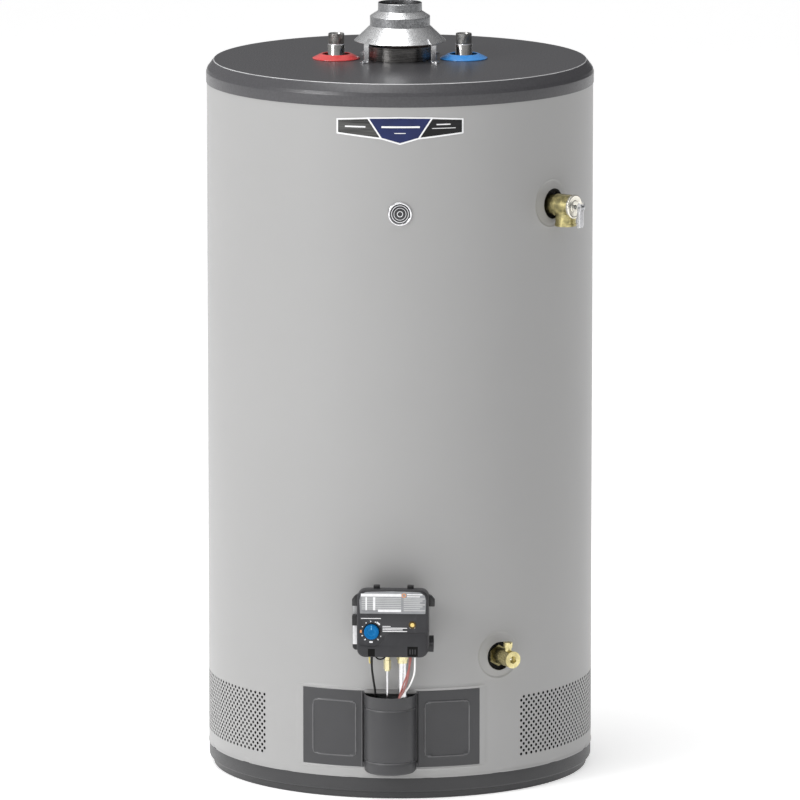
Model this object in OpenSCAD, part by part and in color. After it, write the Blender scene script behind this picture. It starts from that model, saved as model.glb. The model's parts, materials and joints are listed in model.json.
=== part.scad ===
// Gas storage water heater with a draft hood.
// Millimetres. +Z up, origin on the floor on the tank's axis, service side towards -Y.
// An azimuth is measured from the service side (-Y) towards +X.

/* [Jacket and lid] */
// Outside diameter of the jacket
jacket_od = 616; // [610:1:622]
// Thickness of the jacket sheet
jacket_t = 0.8; // [0.6:0.1:1.2]
// Height of the lid's flat top above the floor
lid_top_z = 1140.5; // [1136:0.5:1150]
// Depth of the lid's vertical rim
lid_rim_h = 20; // [16:1:22]
// Turn of the top fittings and the name strip from the service side, in degrees
top_turn = 2.4; // [0:0.1:5]
// Turn of the access door and its opening from the service side, in degrees
door_turn = -0.45; // [-1:0.05:1]

/* [Base pan] */
// Height of the base pan below the jacket
base_h = 34.5; // [30:0.5:38]
// Height of its lower, narrower tier
base_tier_h = 12; // [8:1:16]

/* [Tank] */
// Outside diameter of the tank shell
tank_od = 550; // [544:1:552]
// Thickness of the tank steel
tank_t = 3; // [2.5:0.5:4]
// Height of the shell's lower edge
tank_bottom_z = 192.5; // [190:0.5:196]
// Rise of each domed head
head_rise = 60; // [50:1:62]

/* [Flue and draft hood] */
// Outside diameter of the flue tube
flue_od = 102; // [100:1:104]
// Outside diameter of the vent collar on the hood
vent_od = 70.2; // [68:0.1:76.2]
// Height of the hood's top above the lid
hood_h = 90.4; // [88:0.1:96]
// Outside diameter of the hood's skirt
skirt_od = 146.2; // [144:0.1:148]

/* [Water fittings] */
// Distance between the hot and cold nipples
nipple_spacing = 203.2; // [198:0.1:206]
// Outside diameter of a nipple
nipple_od = 26.7; // [26.6:0.1:26.8]
// Height of a nipple above the lid
nipple_h = 40.8; // [38:0.1:46]

/* [Relief valve] */
// Azimuth of the relief valve
relief_az = 54.55; // [50:0.05:60]
// Height of the relief valve's axis
relief_z = 934; // [920:1:950]
// Lift of the relief stem
relief_lift = 3.5; // [3:0.1:3.6]

/* [Drain valve] */
// Azimuth of the drain valve
drain_az = 33.45; // [31:0.05:36]
// Height of the drain valve's axis
drain_z = 223; // [221:1:226]

/* [Gas control] */
// Width of the control's cover
cover_w = 112; // [108:1:114]
// Height of the control's cover
cover_h = 107; // [105:1:110]
// Distance from the jacket to the cover's front face
cover_out = 84; // [80:1:88]
// Diameter of the temperature knob
knob_d = 23.8; // [20:0.1:24]
// Travel of the knob when it is pressed
knob_travel = 3; // [2:0.5:3]

/* [Access door] */
// Half of the door's width, in degrees of azimuth
door_half_deg = 27; // [26:0.5:28]
// Height of the door's lower edge
door_z0 = 52; // [50:1:54]
// Height of the door's upper edge
door_z1 = 175; // [172:1:178]
// Width of the tube pocket
pocket_w = 82; // [78:1:84]

/* [Hidden] */
$fn = 96;

clear = 0.3;             // gap left between curved parts that lie against each other
eps = 0.5;               // how far a cutter runs past what it cuts
jacket_r = jacket_od / 2;
tank_r = tank_od / 2;
flue_r = flue_od / 2;
rim_z = lid_top_z - 35.6;            // lower edge of the lid's rim
shoulder_z = rim_z + lid_rim_h;      // where the rim meets the sloping shoulder
lid_t = 0.9;
lid_r = jacket_r + 0.2 + lid_t;
lid_flat_r = jacket_r - 11;
head_z = 1020;                       // where the shell meets the upper head
floor_z = 62;                        // combustion chamber floor
chamber_top_z = tank_bottom_z - 0.5;
blanket_top_z = 184;
foam_z0 = 186;
nipple_r = nipple_od / 2;
nipple_thread_r = nipple_r - 0.15;
thread_h = 16.8;                     // length of the nipple's upper thread
nipple_bore_r = 10.4;
nipple_z0 = 1062;
nipple_z1 = lid_top_z + nipple_h;
ball_r = 8;
ball_z = 1107;
ball_travel = 6;
ball_seat_drop = 6;                  // how far a seated ball's centre stands above its seat
fitting_r = 13.3;                    // 3/4 inch pipe thread, outside
port_r = fitting_r + 0.2;            // hole in the tank's welded ports
port_outer_r = 19;
cap_u = 36;                          // inner face of the relief valve's cap, out of the jacket
relief_disc_u = 8.4;                 // outer face of the valve disc when it is shut
pin_u = 52.5;                        // lever pin, out of the jacket
drain_ball_u = 22.6;                 // ball and stem of the drain valve
boss_u = 22.5;                       // axis of the relief valve's outlet boss
boss_drop = 31.8;                    // and how far it reaches down
outlet_u = 38.5;                     // end of the drain valve's hose thread
badge_z = 937;
valve_x = 4.7;                       // the gas control sits slightly to one side of the door
valve_z = 302;                       // height of the probe's port
cover_z = 300;
body_z0 = 250;
body_z1 = 331;
cover_y = -(jacket_r + cover_out);
body_front_y = -350;
body_back_y = -320;
knob_x = -28.2;
knob_z = 288;
light_x = 35.8;
light_z = 298.8;
left_plug = [-28.4, 11, 12];         // a wire connector's place in x, width and height
right_plug = [36.2, 16.5, 16];
plug_z = 248.4;
plug_depth = 18;
inlet_y = -336;
inlet_z = 258;
inlet_r = 9.3;                       // 1/2 inch pipe thread, inside
tube_y = -332;                       // plane of the pilot and manifold tubes
main_x = 17.8;
pilot_x = -6;
main_run_z = 96;
pilot_run_z = 128;
pocket_r = pocket_w / 2;
pocket_cy = -(jacket_r - 1);
pocket_t = 1.2;
pocket_z0 = 46;
pocket_z1 = 171;
strip_z = [1046, 1054.4, 1062, 1086, 1089, 1090];   // name strip: its tab's point, then its corners
door_t = 1.2;
inner_door_half_deg = 17;
window_half_deg = 13;

// Routes of the wires, from the gas control through the inner door to the pilot
black_route = [[-28, -380, 248], [-28.4, -379, 240], [-28.4, -370, 222], [-27, -354, 203], [-25.4, -340, 185],
    [-24.4, -331, 165], [-24, -324, 142], [-24, -312, 124], [-25, -298, 118], [-25, -270, 118],
    [-20, -200, 116], [-14, -128, 124]];
red_route = [[33, -380, 248], [32.6, -378, 238], [27, -366, 216], [19.5, -353, 194], [14, -343, 176],
    [7, -338.5, 158], [3, -328, 140], [1, -312, 124], [1, -297, 118], [1, -270, 118],
    [1, -200, 115], [0, -128, 124]];
white_route = [[39, -380, 248], [39.2, -378, 238], [37.8, -368, 216], [30, -352, 194], [19, -342.8, 177],
    [10.8, -338.4, 163], [8, -328, 146], [6.5, -314, 128], [6.5, -299, 119.5], [6.5, -270, 118],
    [5, -200, 117], [4, -128, 126]];

// ---- helpers ---------------------------------------------------------------------------------

// Turns its children from the service side to an azimuth
module at_azimuth(a) {
    rotate([0, 0, a])
        children();
}

// Local frame of a side fitting: +X out of the jacket from its surface, +Z up
module side_fitting(az, z) {
    rotate([0, 0, az - 90])
        translate([jacket_r, 0, z])
            children();
}

// Cylinder along +X from x0 to x1
module bar_x(r, x0, x1) {
    translate([x0, 0, 0])
        rotate([0, 90, 0])
            cylinder(r = r, h = x1 - x0);
}

// Cylinder along +Y from y0 to y1
module bar_y(r, y0, y1) {
    translate([0, y0, 0])
        rotate([-90, 0, 0])
            cylinder(r = r, h = y1 - y0);
}

// Hexagonal bar along +X
module hex_x(af, x0, x1) {
    translate([x0, 0, 0])
        rotate([0, 90, 0])
            cylinder(d = af / cos(30), h = x1 - x0, $fn = 6);
}

// Upright round tube
module ring(r_out, r_in, z0, z1) {
    translate([0, 0, z0])
        difference() {
            cylinder(r = r_out, h = z1 - z0);
            translate([0, 0, -eps])
                cylinder(r = r_in, h = z1 - z0 + 2 * eps);
        }
}

// Wedge around the service side, for cutting or keeping part of a ring
module wedge(half, z0, z1, reach = 420) {
    translate([0, 0, z0])
        linear_extrude(z1 - z0)
            polygon([[0, 0], [reach * sin(half), -reach * cos(half)], [-reach * sin(half), -reach * cos(half)]]);
}

// Part of a ring that spans an azimuth either side of the service side
module ring_sector(r_out, r_in, z0, z1, half) {
    intersection() {
        ring(r_out, r_in, z0, z1);
        wedge(half, z0 - 1, z1 + 1);
    }
}

// Points of a rectangle with rounded corners, centred on the origin
function round_rect(w, h, r, n = 6) = [for (q = [0:3]) for (i = [0:n])
    let (a = 90 * (q + i / n), sx = (q == 0 || q == 3) ? 1 : -1, sy = (q < 2) ? 1 : -1)
    [sx * (w / 2 - r) + r * cos(a), sy * (h / 2 - r) + r * sin(a)]];

// Slab with a rounded outline in the XZ plane, from y0 to y1
module slab(w, h, r, y0, y1) {
    translate([0, y1, 0])
        rotate([90, 0, 0])
            linear_extrude(y1 - y0)
                polygon(round_rect(w, h, r));
}

function unit(v) = v / norm(v);
function path_dir(p, i) = unit(p[min(i + 1, len(p) - 1)] - p[max(i - 1, 0)]);

// Smooth route through a list of points, with n steps between neighbours
function smooth(p, n = 3) = concat([for (i = [0:len(p) - 2]) for (k = [0:n - 1])
    let (t = k / n, a = p[max(i - 1, 0)], b = p[i], c = p[i + 1], d = p[min(i + 2, len(p) - 1)])
    (2 * b + (c - a) * t + (2 * a - 5 * b + 4 * c - d) * t * t + (3 * b - a - 3 * c + d) * t * t * t) / 2],
    [p[len(p) - 1]]);

// Round wire swept along a route that never runs along X
module wire(p, r, sides = 8) {
    n = len(p);
    points = [for (i = [0:n - 1]) for (j = [0:sides - 1])
        let (t = path_dir(p, i), s = unit(cross([1, 0, 0], t)), m = cross(t, s), a = 360 * j / sides)
        p[i] + r * (cos(a) * s + sin(a) * m)];
    skin = [for (i = [0:n - 2]) for (j = [0:sides - 1])
        [i * sides + j, (i + 1) * sides + j, (i + 1) * sides + (j + 1) % sides, i * sides + (j + 1) % sides]];
    ends = [[for (j = [0:sides - 1]) j], [for (j = [sides - 1:-1:0]) (n - 1) * sides + j]];
    polyhedron(points, concat(skin, ends));
}

// Outline of the tank, grown by g: half of its section, from the bottom head's centre to the top's
function dome(z, r, rise, n = 14) = [for (i = [0:n]) let (a = 90 * i / n) [r * sin(a), z + rise * cos(a)]];

// ---- base ------------------------------------------------------------------------------------

module base_pan() {
    r1 = jacket_r - 0.5;
    r0 = jacket_r - 7.5;
    r2 = jacket_r - 1.2;                 // upstand inside the jacket
    color("#4b4b4e")
        rotate_extrude()
            polygon([[0, 0], [r0, 0], [r0, base_tier_h - 1.5], [r1 - 4, base_tier_h],
                [r1 - 1.2, base_tier_h + 2.6], [r1, base_tier_h + 7], [r1, base_h - 0.2],
                [r2, base_h - 0.2], [r2, base_h + 10], [r2 - 1.2, base_h + 10],
                [r2 - 1.2, base_tier_h + 7.3], [r1 - 2.4, base_tier_h + 3.4], [r1 - 4.7, base_tier_h + 1.2],
                [r0 - 1.2, base_tier_h - 0.3], [r0 - 1.2, 1.5], [0, 1.5]]);
}

module support_legs() {
    color("#6d6f72") {
        ring(262, 228, floor_z - 3.5, floor_z - 0.5);
        for (i = [0:3])
            at_azimuth(45 + 90 * i)
                difference() {
                    translate([-25, -262, 1.7])
                        cube([50, 30, floor_z - 5.4]);
                    translate([-22, -263, 4.7])
                        cube([44, 28, floor_z - 5.4]);
                }
    }
}

module lint_screen() {
    color("#8f9194")
        difference() {
            ring(180, 179, 1.8, floor_z - 0.8);
            for (i = [0:11])
                rotate([0, 0, 15 * i])
                    for (k = [0:2])
                        translate([-190, -9, 8 + 17 * k])
                            cube([380, 18, 11]);
        }
}

// ---- jacket and lid --------------------------------------------------------------------------

module jacket() {
    color("#b9b9ba")
        difference() {
            ring(jacket_r, jacket_r - jacket_t, base_h, shoulder_z - 6);
            at_azimuth(door_turn)
                wedge(door_half_deg - 3, door_z0 + 8, door_z1 - 4);
            side_fitting(relief_az, relief_z + 1.5)
                bar_x(24, -8, 8);
            side_fitting(drain_az, drain_z)
                bar_x(22.7, -8, 8);
            translate([valve_x, 0, valve_z])
                bar_y(19, -jacket_r - 8, -jacket_r + 8);
        }
}

module lid() {
    t = lid_t;
    color("#5c5c60")
        difference() {
            rotate_extrude()
                polygon([[flue_r + 1.5, lid_top_z], [lid_flat_r, lid_top_z], [lid_r - 2, shoulder_z + 2.4],
                    [lid_r, shoulder_z], [lid_r, rim_z], [lid_r - t, rim_z], [lid_r - t, shoulder_z - 0.4],
                    [lid_r - t - 1.7, shoulder_z + 1.6], [lid_flat_r - 0.4, lid_top_z - t],
                    [flue_r + 1.5, lid_top_z - t]]);
            at_azimuth(top_turn)
                for (s = [-1, 1])
                    translate([s * nipple_spacing / 2, 0, lid_top_z - 5])
                        cylinder(r = 20, h = 10);
            at_hood_legs()
                translate([81.5, 0, -3])
                    cylinder(r = 2.2, h = 6);
        }
}

// ---- tank ------------------------------------------------------------------------------------

module side_ports(r, u0, u1) {
    side_fitting(relief_az, relief_z)
        bar_x(r, u0, u1);
    side_fitting(drain_az, drain_z)
        bar_x(r, u0, u1);
    translate([valve_x, 0, valve_z])
        bar_y(r, -jacket_r - u1, -jacket_r - u0);
}

module top_ports(r, z0, z1) {
    at_azimuth(top_turn)
        for (s = [-1, 1])
            translate([s * nipple_spacing / 2, 0, z0])
                cylinder(r = r, h = z1 - z0);
}

module inner_tank() {
    outer_top = dome(head_z, tank_r, head_rise);
    inner_top = dome(head_z, tank_r - tank_t, head_rise - tank_t);
    outer_bottom = dome(tank_bottom_z, tank_r, head_rise);
    inner_bottom = dome(tank_bottom_z + tank_t, tank_r - tank_t, head_rise);
    n = len(inner_top);
    color("#3f5f6d")
        difference() {
            union() {
                difference() {
                    rotate_extrude()
                        polygon(concat(outer_top, [for (i = [n - 1:-1:0]) outer_bottom[i]]));
                    rotate_extrude()
                        polygon(concat(inner_top, [for (i = [n - 1:-1:0]) inner_bottom[i]]));
                }
                side_ports(port_outer_r, -48, -24);
                top_ports(port_outer_r, 1056, 1086);
            }
            side_ports(port_r, -60, -20);
            top_ports(nipple_r + 0.2, 1040, 1095);
            cylinder(r = flue_r + 0.2, h = lid_top_z);
        }
}

module flue_tube() {
    z0 = tank_bottom_z + head_rise - 8;
    color("#77797c")
        difference() {
            ring(flue_r, flue_r - 2.5, z0, lid_top_z + 22);
            for (a = [0, 180])
                rotate([0, 0, a + 20])
                    translate([flue_r - 4, -3, lid_top_z + 16])
                        cube([6, 6, 8]);
        }
}

module flue_baffle() {
    z0 = 330;
    z1 = lid_top_z + 19;
    fins = 11;
    color("#6b5a50")
        rotate([0, 0, 20]) {
            translate([-42, -0.8, z0])
                cube([84, 1.6, z1 - z0 - 3]);
            translate([-flue_r + 0.2, -2.5, z1 - 3])
                cube([2 * flue_r - 0.4, 5, 3]);
            for (i = [0:fins - 1])
                translate([0, 0, z0 + 30 + 68 * i])
                    rotate([i % 2 == 0 ? 35 : -35, 0, 0])
                        translate([-34, -0.8, -26])
                            cube([68, 1.6, 52]);
        }
}

module foam_insulation() {
    g = 0.5;
    inner = dome(head_z, tank_r + g, head_rise + g);
    color("#e8d9a0")
        difference() {
            rotate_extrude()
                polygon(concat([[flue_r + 1, lid_top_z - 3], [flue_r + 1, head_z + head_rise + 1]],
                    [for (p = inner) if (p[0] > flue_r + 12) p],
                    [[tank_r + g, foam_z0], [jacket_r - jacket_t - g, foam_z0],
                    [jacket_r - jacket_t - g, shoulder_z - 4], [lid_flat_r - 3, lid_top_z - 3]]));
            side_ports(24, -60, 10);
            top_ports(22, 1040, lid_top_z);
        }
}

module chamber_blanket() {
    color("#e9c6c0")
        difference() {
            ring(tank_r + 14.5, tank_r + 0.5, floor_z + 2, blanket_top_z);
            wedge(inner_door_half_deg + 3, floor_z, blanket_top_z - 4);
        }
}

module chamber_skirt() {
    color("#55585b")
        difference() {
            ring(tank_r, tank_r - tank_t, floor_z + 2.3, chamber_top_z);
            wedge(window_half_deg, 76, 162);
            door_screw_places()
                bar_x(2.3, -9, 12);
        }
}

module chamber_floor() {
    color("#606366")
        difference() {
            ring(tank_r + 4, 96, floor_z, floor_z + 2);
            for (i = [0:7])
                rotate([0, 0, 45 * i])
                    translate([104, 0, floor_z - 1])
                        cylinder(r = 2.5, h = 4);
        }
}

module flame_arrestor() {
    color("#8a8478")
        difference() {
            union() {
                translate([0, 0, floor_z - 8])
                    cylinder(r = 95.6, h = 14);
                ring(112, 90, floor_z + 2.3, floor_z + 4);
            }
            for (k = [1:5])
                for (i = [0:6 * k - 1])
                    rotate([0, 0, 60 * i / k])
                        translate([15 * k, 0, floor_z - 9])
                            cylinder(r = 4, h = 16);
        }
}

// ---- burner ----------------------------------------------------------------------------------

module burner() {
    color("#7b7d80")
        difference() {
            rotate_extrude()
                polygon([[16, 116], [20, 116], [20, 124], [60, 130], [100, 134], [104, 140], [104, 146],
                    [96, 151], [60, 148], [0, 148], [0, 145], [60, 145], [95, 148], [100, 144], [100, 140],
                    [97, 137], [60, 133], [16, 127]]);
            for (i = [0:23])
                rotate([0, 0, 15 * i])
                    translate([80, 0, 140])
                        cylinder(r = 2.2, h = 14);
        }
}

// Quarter bend in the YZ plane, centred on its own origin, starting at an angle from +Y
module bend_yz(bend, r, r_in, start) {
    rotate([90, 0, 90])
        rotate([0, 0, start])
            rotate_extrude(angle = 90)
                translate([bend, 0])
                    difference() {
                        circle(r = r, $fn = 32);
                        if (r_in > 0)
                            circle(r = r_in, $fn = 32);
                    }
}

// Tube that drops beside the jacket at x, turns inwards and runs towards the tank's axis
module dropped_tube(x, r, r_in, bend, z_top, z_run, run_end) {
    reach = norm([x, tube_y]);
    at_azimuth(atan(x / -tube_y)) {
        translate([0, -reach, 0])
            ring(r, r_in, z_run + bend, z_top);
        translate([0, bend - reach, z_run + bend])
            bend_yz(bend, r, r_in, 180);
        translate([0, 0, z_run])
            difference() {
                bar_y(r, bend - reach, run_end);
                bar_y(r_in, bend - reach - eps, run_end + eps);
            }
    }
}

module manifold_tube() {
    tip = 14;
    color("#c9cacc") {
        dropped_tube(main_x, 6.35, 5.2, 22, 240, main_run_z, -tip);
        at_azimuth(atan(main_x / -tube_y)) {
            translate([0, -tip, main_run_z + tip])
                bend_yz(tip, 6.35, 5.2, 270);
            ring(6.35, 1.2, main_run_z + tip, main_run_z + tip + 12);
        }
    }
}

module pilot_tube() {
    color("#cfd0d2")
        dropped_tube(pilot_x, 1.8, 1.1, 14, 236, pilot_run_z, -122);
}

module pilot_assembly() {
    color("#8c8e90") {
        difference() {
            translate([-18, -121.5, 119])
                cube([38, 1.5, 10]);
            translate([-2, 0, pilot_run_z])
                bar_y(2.1, -124, -119);
        }
        translate([-2, -113, 119])
            difference() {
                cylinder(r = 5, h = 24);
                translate([0, -6, 18])
                    cube([12, 12, 8]);
            }
        translate([-4, -120.2, 119])
            cube([4, 3, 7]);
        translate([10, -113, 119])
            cylinder(r = 4, h = 30);
        translate([8, -120.2, 119])
            cube([4, 4, 7]);
        translate([-14, -115, 119])
            cylinder(r = 1.6, h = 29);
        translate([-15, -120.2, 119])
            cube([2, 5, 5]);
    }
}

// ---- inner service door ----------------------------------------------------------------------

// Local frame on the chamber wall: +X outwards from a radius, +Z up
module on_radius(az, r, z) {
    rotate([0, 0, az - 90])
        translate([r, 0, z])
            children();
}

module door_screw_places() {
    for (a = [-1, 1])
        for (z = [floor_z + 9.5, 169])
            on_radius(a * (inner_door_half_deg - 1.5), tank_r, z)
                children();
}

module inner_door() {
    color("#606468")
        difference() {
            ring_sector(tank_r + 6, tank_r + 4.4, floor_z + 4, 174, inner_door_half_deg);
            door_screw_places()
                bar_x(2.3, -9, 12);
            on_radius(8, tank_r, 148)
                bar_x(9, -5, 12);
            at_azimuth(atan(main_x / -tube_y))
                translate([0, 0, main_run_z])
                    bar_y(6.8, -300, -260);
            at_azimuth(atan(pilot_x / -tube_y))
                translate([0, 0, pilot_run_z])
                    bar_y(2.2, -300, -260);
            translate([-25, 0, 118])
                bar_y(3, -300, -260);
            translate([3.8, 0, 118])
                bar_y(6, -300, -260);
        }
}

module door_gasket() {
    color("#d8d4c8")
        difference() {
            ring_sector(tank_r + 4, tank_r + clear, floor_z + 4, 174, inner_door_half_deg);
            wedge(window_half_deg + 1, 75, 163);
            door_screw_places()
                bar_x(2.3, -9, 12);
        }
}

module inner_door_screws() {
    color("#a8aaad")
        door_screw_places() {
            bar_x(2, -6, 6.5);
            hex_x(7, 6.5, 10);
        }
}

module sight_glass() {
    color("#cfe3e6")
        on_radius(8, tank_r, 148) {
            bar_x(8.6, 2, 6.9);
            bar_x(11, 6.9, 8.4);
        }
}

module thermal_switch() {
    color("#2c2c2e")
        on_radius(-10, tank_r, 150) {
            bar_x(8, 6.4, 12);
            bar_x(11, 6.4, 7.4);
            for (s = [-1, 1])
                translate([12, 4 * s - 0.4, -3])
                    cube([6, 0.8, 6]);
        }
}

// ---- gas control -----------------------------------------------------------------------------

module valve_body() {
    left = valve_x - cover_w / 2 - 8.7;
    right = valve_x + cover_w / 2 - 5.7;
    color("#3c3d40")
        difference() {
            union() {
                translate([(left + right) / 2, 0, (body_z0 + body_z1) / 2])
                    slab(right - left, body_z1 - body_z0, 6, body_front_y, body_back_y);
                translate([0, inlet_y, inlet_z])
                    bar_x(13, right - 6, right + 12);
            }
            translate([0, inlet_y, inlet_z]) {
                bar_x(inlet_r, right - 4, right + 13);
                bar_x(5, main_x, right);
            }
            translate([main_x, tube_y, 240])
                cylinder(r = 4, h = inlet_z - 240);
            translate([pilot_x, tube_y, 240])
                cylinder(r = 1.2, h = 40);
            translate([knob_x, 0, knob_z])
                bar_y(3.2, body_front_y - 1, body_back_y - 2);
        }
}

// Hooks and catches on the cover's sides and top
module cover_catches() {
    y = body_front_y - 12;
    left = valve_x - cover_w / 2;
    for (s = [-1, 1])
        translate([valve_x, y + 10, 0])
            rotate([90, 0, 0])
                linear_extrude(10)
                    polygon([[s * (cover_w / 2 - 2), 342], [s * (cover_w / 2 + 9), 333],
                        [s * (cover_w / 2 + 9), 322.5], [s * (cover_w / 2 - 2), 322.5]]);
    translate([left - 9, y, 291])
        cube([11, 10, 16]);
    for (x = [-21.4, 31.7])
        translate([x - 5, y - 3, cover_z + cover_h / 2 - 5])
            cube([10, 11, 7.5]);
}

module valve_cover() {
    wall = 2.5;
    color("#46474b")
        difference() {
            union() {
                difference() {
                    translate([valve_x, 0, cover_z])
                        slab(cover_w, cover_h, 13, cover_y, body_front_y - 0.4);
                    translate([valve_x, 0, cover_z - wall])
                        slab(cover_w - 2 * wall, cover_h - 4 * wall, 11, cover_y + wall, body_front_y + 1);
                    // the top falls towards the back
                    translate([valve_x - cover_w / 2 - 1, cover_y, cover_z + cover_h / 2])
                        rotate([-4.8, 0, 0])
                            cube([cover_w + 2, 60, 10]);
                }
                cover_catches();
                translate([light_x, 0, light_z])
                    bar_y(5.7, cover_y - 1, cover_y + 1);
            }
            translate([knob_x, 0, knob_z])
                bar_y(knob_d / 2 + 0.8, cover_y - 2, cover_y + 4);
            translate([light_x, 0, light_z])
                bar_y(3.5, cover_y - 2, cover_y + 4);
            connector_box(left_plug, clear);
            connector_box(right_plug, clear);
        }
}

// Block of a wire connector at the cover's lower edge, or its cut-out, g larger and open below
module connector_box(plug, g = 0) {
    below = g > 0 ? 5 : 0;
    translate([plug[0] - plug[1] / 2 - g, cover_y - 1.2 - g, plug_z - below])
        cube([plug[1] + 2 * g, plug_depth + g, plug[2] + g + below]);
}

module left_connector() {
    color("#202124")
        connector_box(left_plug);
}

module right_connector() {
    color("#202124")
        difference() {
            connector_box(right_plug);
            for (x = [-4, 0, 4])
                translate([right_plug[0] + x - 1, cover_y - 2, plug_z + 3.6])
                    cube([2, 2, 8]);
        }
}

module valve_panel() {
    color("#c4c6c8") {
        translate([valve_x, cover_y - 0.1, 0])
            rotate([90, 0, 0])
                linear_extrude(0.4)
                    polygon([[-50, 317.5], [50, 317.5], [52, 335], [51, 346], [44, 353], [-44, 353],
                        [-51, 346], [-52, 335]]);
        translate([valve_x - cover_w / 2 - 8.2, body_front_y - 0.5, body_z0 + 5])
            cube([7.6, 0.4, body_z1 - body_z0 - 10]);
    }
}

module status_light() {
    color("#f2a51e")
        translate([light_x, 0, light_z]) {
            bar_y(3.2, cover_y - 1, cover_y + 3);
            intersection() {
                translate([0, cover_y + 2, 0])
                    sphere(r = 4);
                bar_y(3.2, cover_y - 4, cover_y);
            }
        }
}

module thermostat_probe() {
    color("#b8973f")
        translate([valve_x, 0, valve_z])
            rotate([0, 0, -90]) {
                hex_x(36, jacket_r + 3, -body_back_y - clear);
                bar_x(fitting_r, jacket_r - 46, jacket_r + 3);
                bar_x(4.8, 150, jacket_r - 46);
            }
}

module tube_nuts() {
    color("#c8b560") {
        translate([main_x, tube_y, 0])
            difference() {
                union() {
                    translate([0, 0, 232])
                        cylinder(d = 15.8 / cos(30), h = 6, $fn = 6);
                    ring(7.9, 6.5, 226, 232);
                    ring(7.6, 6.5, 238, 249.8);
                }
                translate([0, 0, 218])
                    cylinder(r = 6.5, h = 33);
            }
        translate([pilot_x, tube_y, 0])
            difference() {
                union() {
                    translate([0, 0, 216])
                        cylinder(d = 10 / cos(30), h = 14, $fn = 6);
                    ring(4.4, 2, 213, 216);
                    ring(4, 2, 230, 249.8);
                }
                translate([0, 0, 211])
                    cylinder(r = 2, h = 40);
            }
    }
}

module control_stem() {
    color("#9b9da0")
        translate([knob_x, 0, knob_z])
            bar_y(3, cover_y - 4, body_back_y - 5 - knob_travel);
}

module control_knob() {
    r = knob_d / 2;
    y0 = cover_y - 5 - knob_travel;
    color("#0f7fd0")
        translate([knob_x, 0, knob_z])
            difference() {
                union() {
                    bar_y(r, y0 + 1, y0 + 9);
                    bar_y(r - 1, y0, y0 + 1);
                    bar_y(5, y0 + 9, y0 + 14);
                }
                bar_y(3.06, y0 + 3.5, y0 + 16);
                translate([-1, y0 - 1, 2])
                    cube([2, 2, 8]);
            }
}

module black_wire() {
    color("#1b1b1c")
        wire(smooth(black_route), 1.5);
}

module red_wire() {
    color("#a8443c")
        wire(smooth(red_route), 1.2);
}

module white_wire() {
    color("#f0f0ee")
        wire(smooth(white_route), 1.2);
}

// ---- water fittings on top -------------------------------------------------------------------

// Places its children on the hot (-1) or the cold (1) side
module at_nipple(side) {
    at_azimuth(top_turn)
        translate([side * nipple_spacing / 2, 0, 0])
            children();
}

// Pipe nipple: a plain barrel with a threaded upper end
module nipple() {
    ring(nipple_r, nipple_bore_r, nipple_z0, nipple_z1 - thread_h);
    ring(nipple_thread_r, nipple_bore_r, nipple_z1 - thread_h, nipple_z1);
}

module hot_nipple() {
    color("#8d8c8a")
        at_nipple(-1)
            nipple();
}

module cold_nipple() {
    color("#8d8c8a")
        at_nipple(1)
            nipple();
}

module heat_trap_inserts() {
    color("#e8e8e4")
        for (s = [-1, 1])
            at_nipple(s)
                difference() {
                    translate([0, 0, ball_z - 9])
                        cylinder(r = nipple_bore_r - 0.1, h = 28);
                    translate([0, 0, ball_z - ball_seat_drop])
                        cylinder(r = ball_r + 0.8, h = ball_seat_drop + ball_r + ball_travel + 1.5);
                    translate([0, 0, ball_z - 10])
                        cylinder(r = 5.4, h = 30);
                }
}

module trap_ball() {
    translate([0, 0, ball_z])
        sphere(r = ball_r);
}

module hot_trap_ball() {
    color("#d8352c")
        at_nipple(-1)
            trap_ball();
}

module cold_trap_ball() {
    color("#2c62c8")
        at_nipple(1)
            trap_ball();
}

module escutcheon() {
    translate([0, 0, lid_top_z])
        rotate_extrude()
            polygon([[38, 0.2], [38, 1.4], [36, 2.4], [24.4, 8], [21.8, 8], [21.8, 6.4], [23.6, 6.4],
                [34.6, 1.2], [34.6, 0.2]]);
}

module hot_escutcheon() {
    color("#e05050")
        at_nipple(-1)
            escutcheon();
}

module cold_escutcheon() {
    color("#3f86d8")
        at_nipple(1)
            escutcheon();
}

module dip_tube() {
    color("#d9dcd8")
        at_nipple(1) {
            ring(9.6, 8.4, 330, 1088);
            ring(10.3, 8.4, 1088, 1092);
        }
}

module anode_rod() {
    color("#a9abad")
        at_nipple(-1) {
            translate([0, 0, 420])
                cylinder(r = 9.5, h = 620);
            difference() {
                ring(10.2, 8, 1040, 1092);
                for (a = [0, 90])
                    rotate([0, 0, a])
                        translate([-12, -3, 1044])
                            cube([24, 6, 12]);
            }
        }
}

// ---- temperature and pressure relief valve ---------------------------------------------------

module relief_body() {
    mouth_r = 11.6;                      // 3/4 inch pipe thread, inside
    color("#b9a84f")
        side_fitting(relief_az, relief_z)
            difference() {
                union() {
                    bar_x(fitting_r, -36, -20);
                    hex_x(34, -20, -9);
                    bar_x(15.8, -9, 6);
                    bar_x(18, 6, cap_u - 0.2);
                    difference() {
                        translate([boss_u, 0, -boss_drop])
                            cylinder(r = 16.2, h = boss_drop);
                        bar_x(19.4, cap_u - 0.2, cap_u + 8);
                    }
                    translate([boss_u, 0, -boss_drop])
                        cylinder(r = 17, h = 4);
                }
                bar_x(9, -37, 6);
                bar_x(12.5, 5, cap_u + 1);
                translate([boss_u, 0, -boss_drop - 1])
                    cylinder(r = mouth_r, h = 19);
                translate([boss_u, 0, -boss_drop])
                    cylinder(r = 8, h = boss_drop);
            }
}

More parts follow.
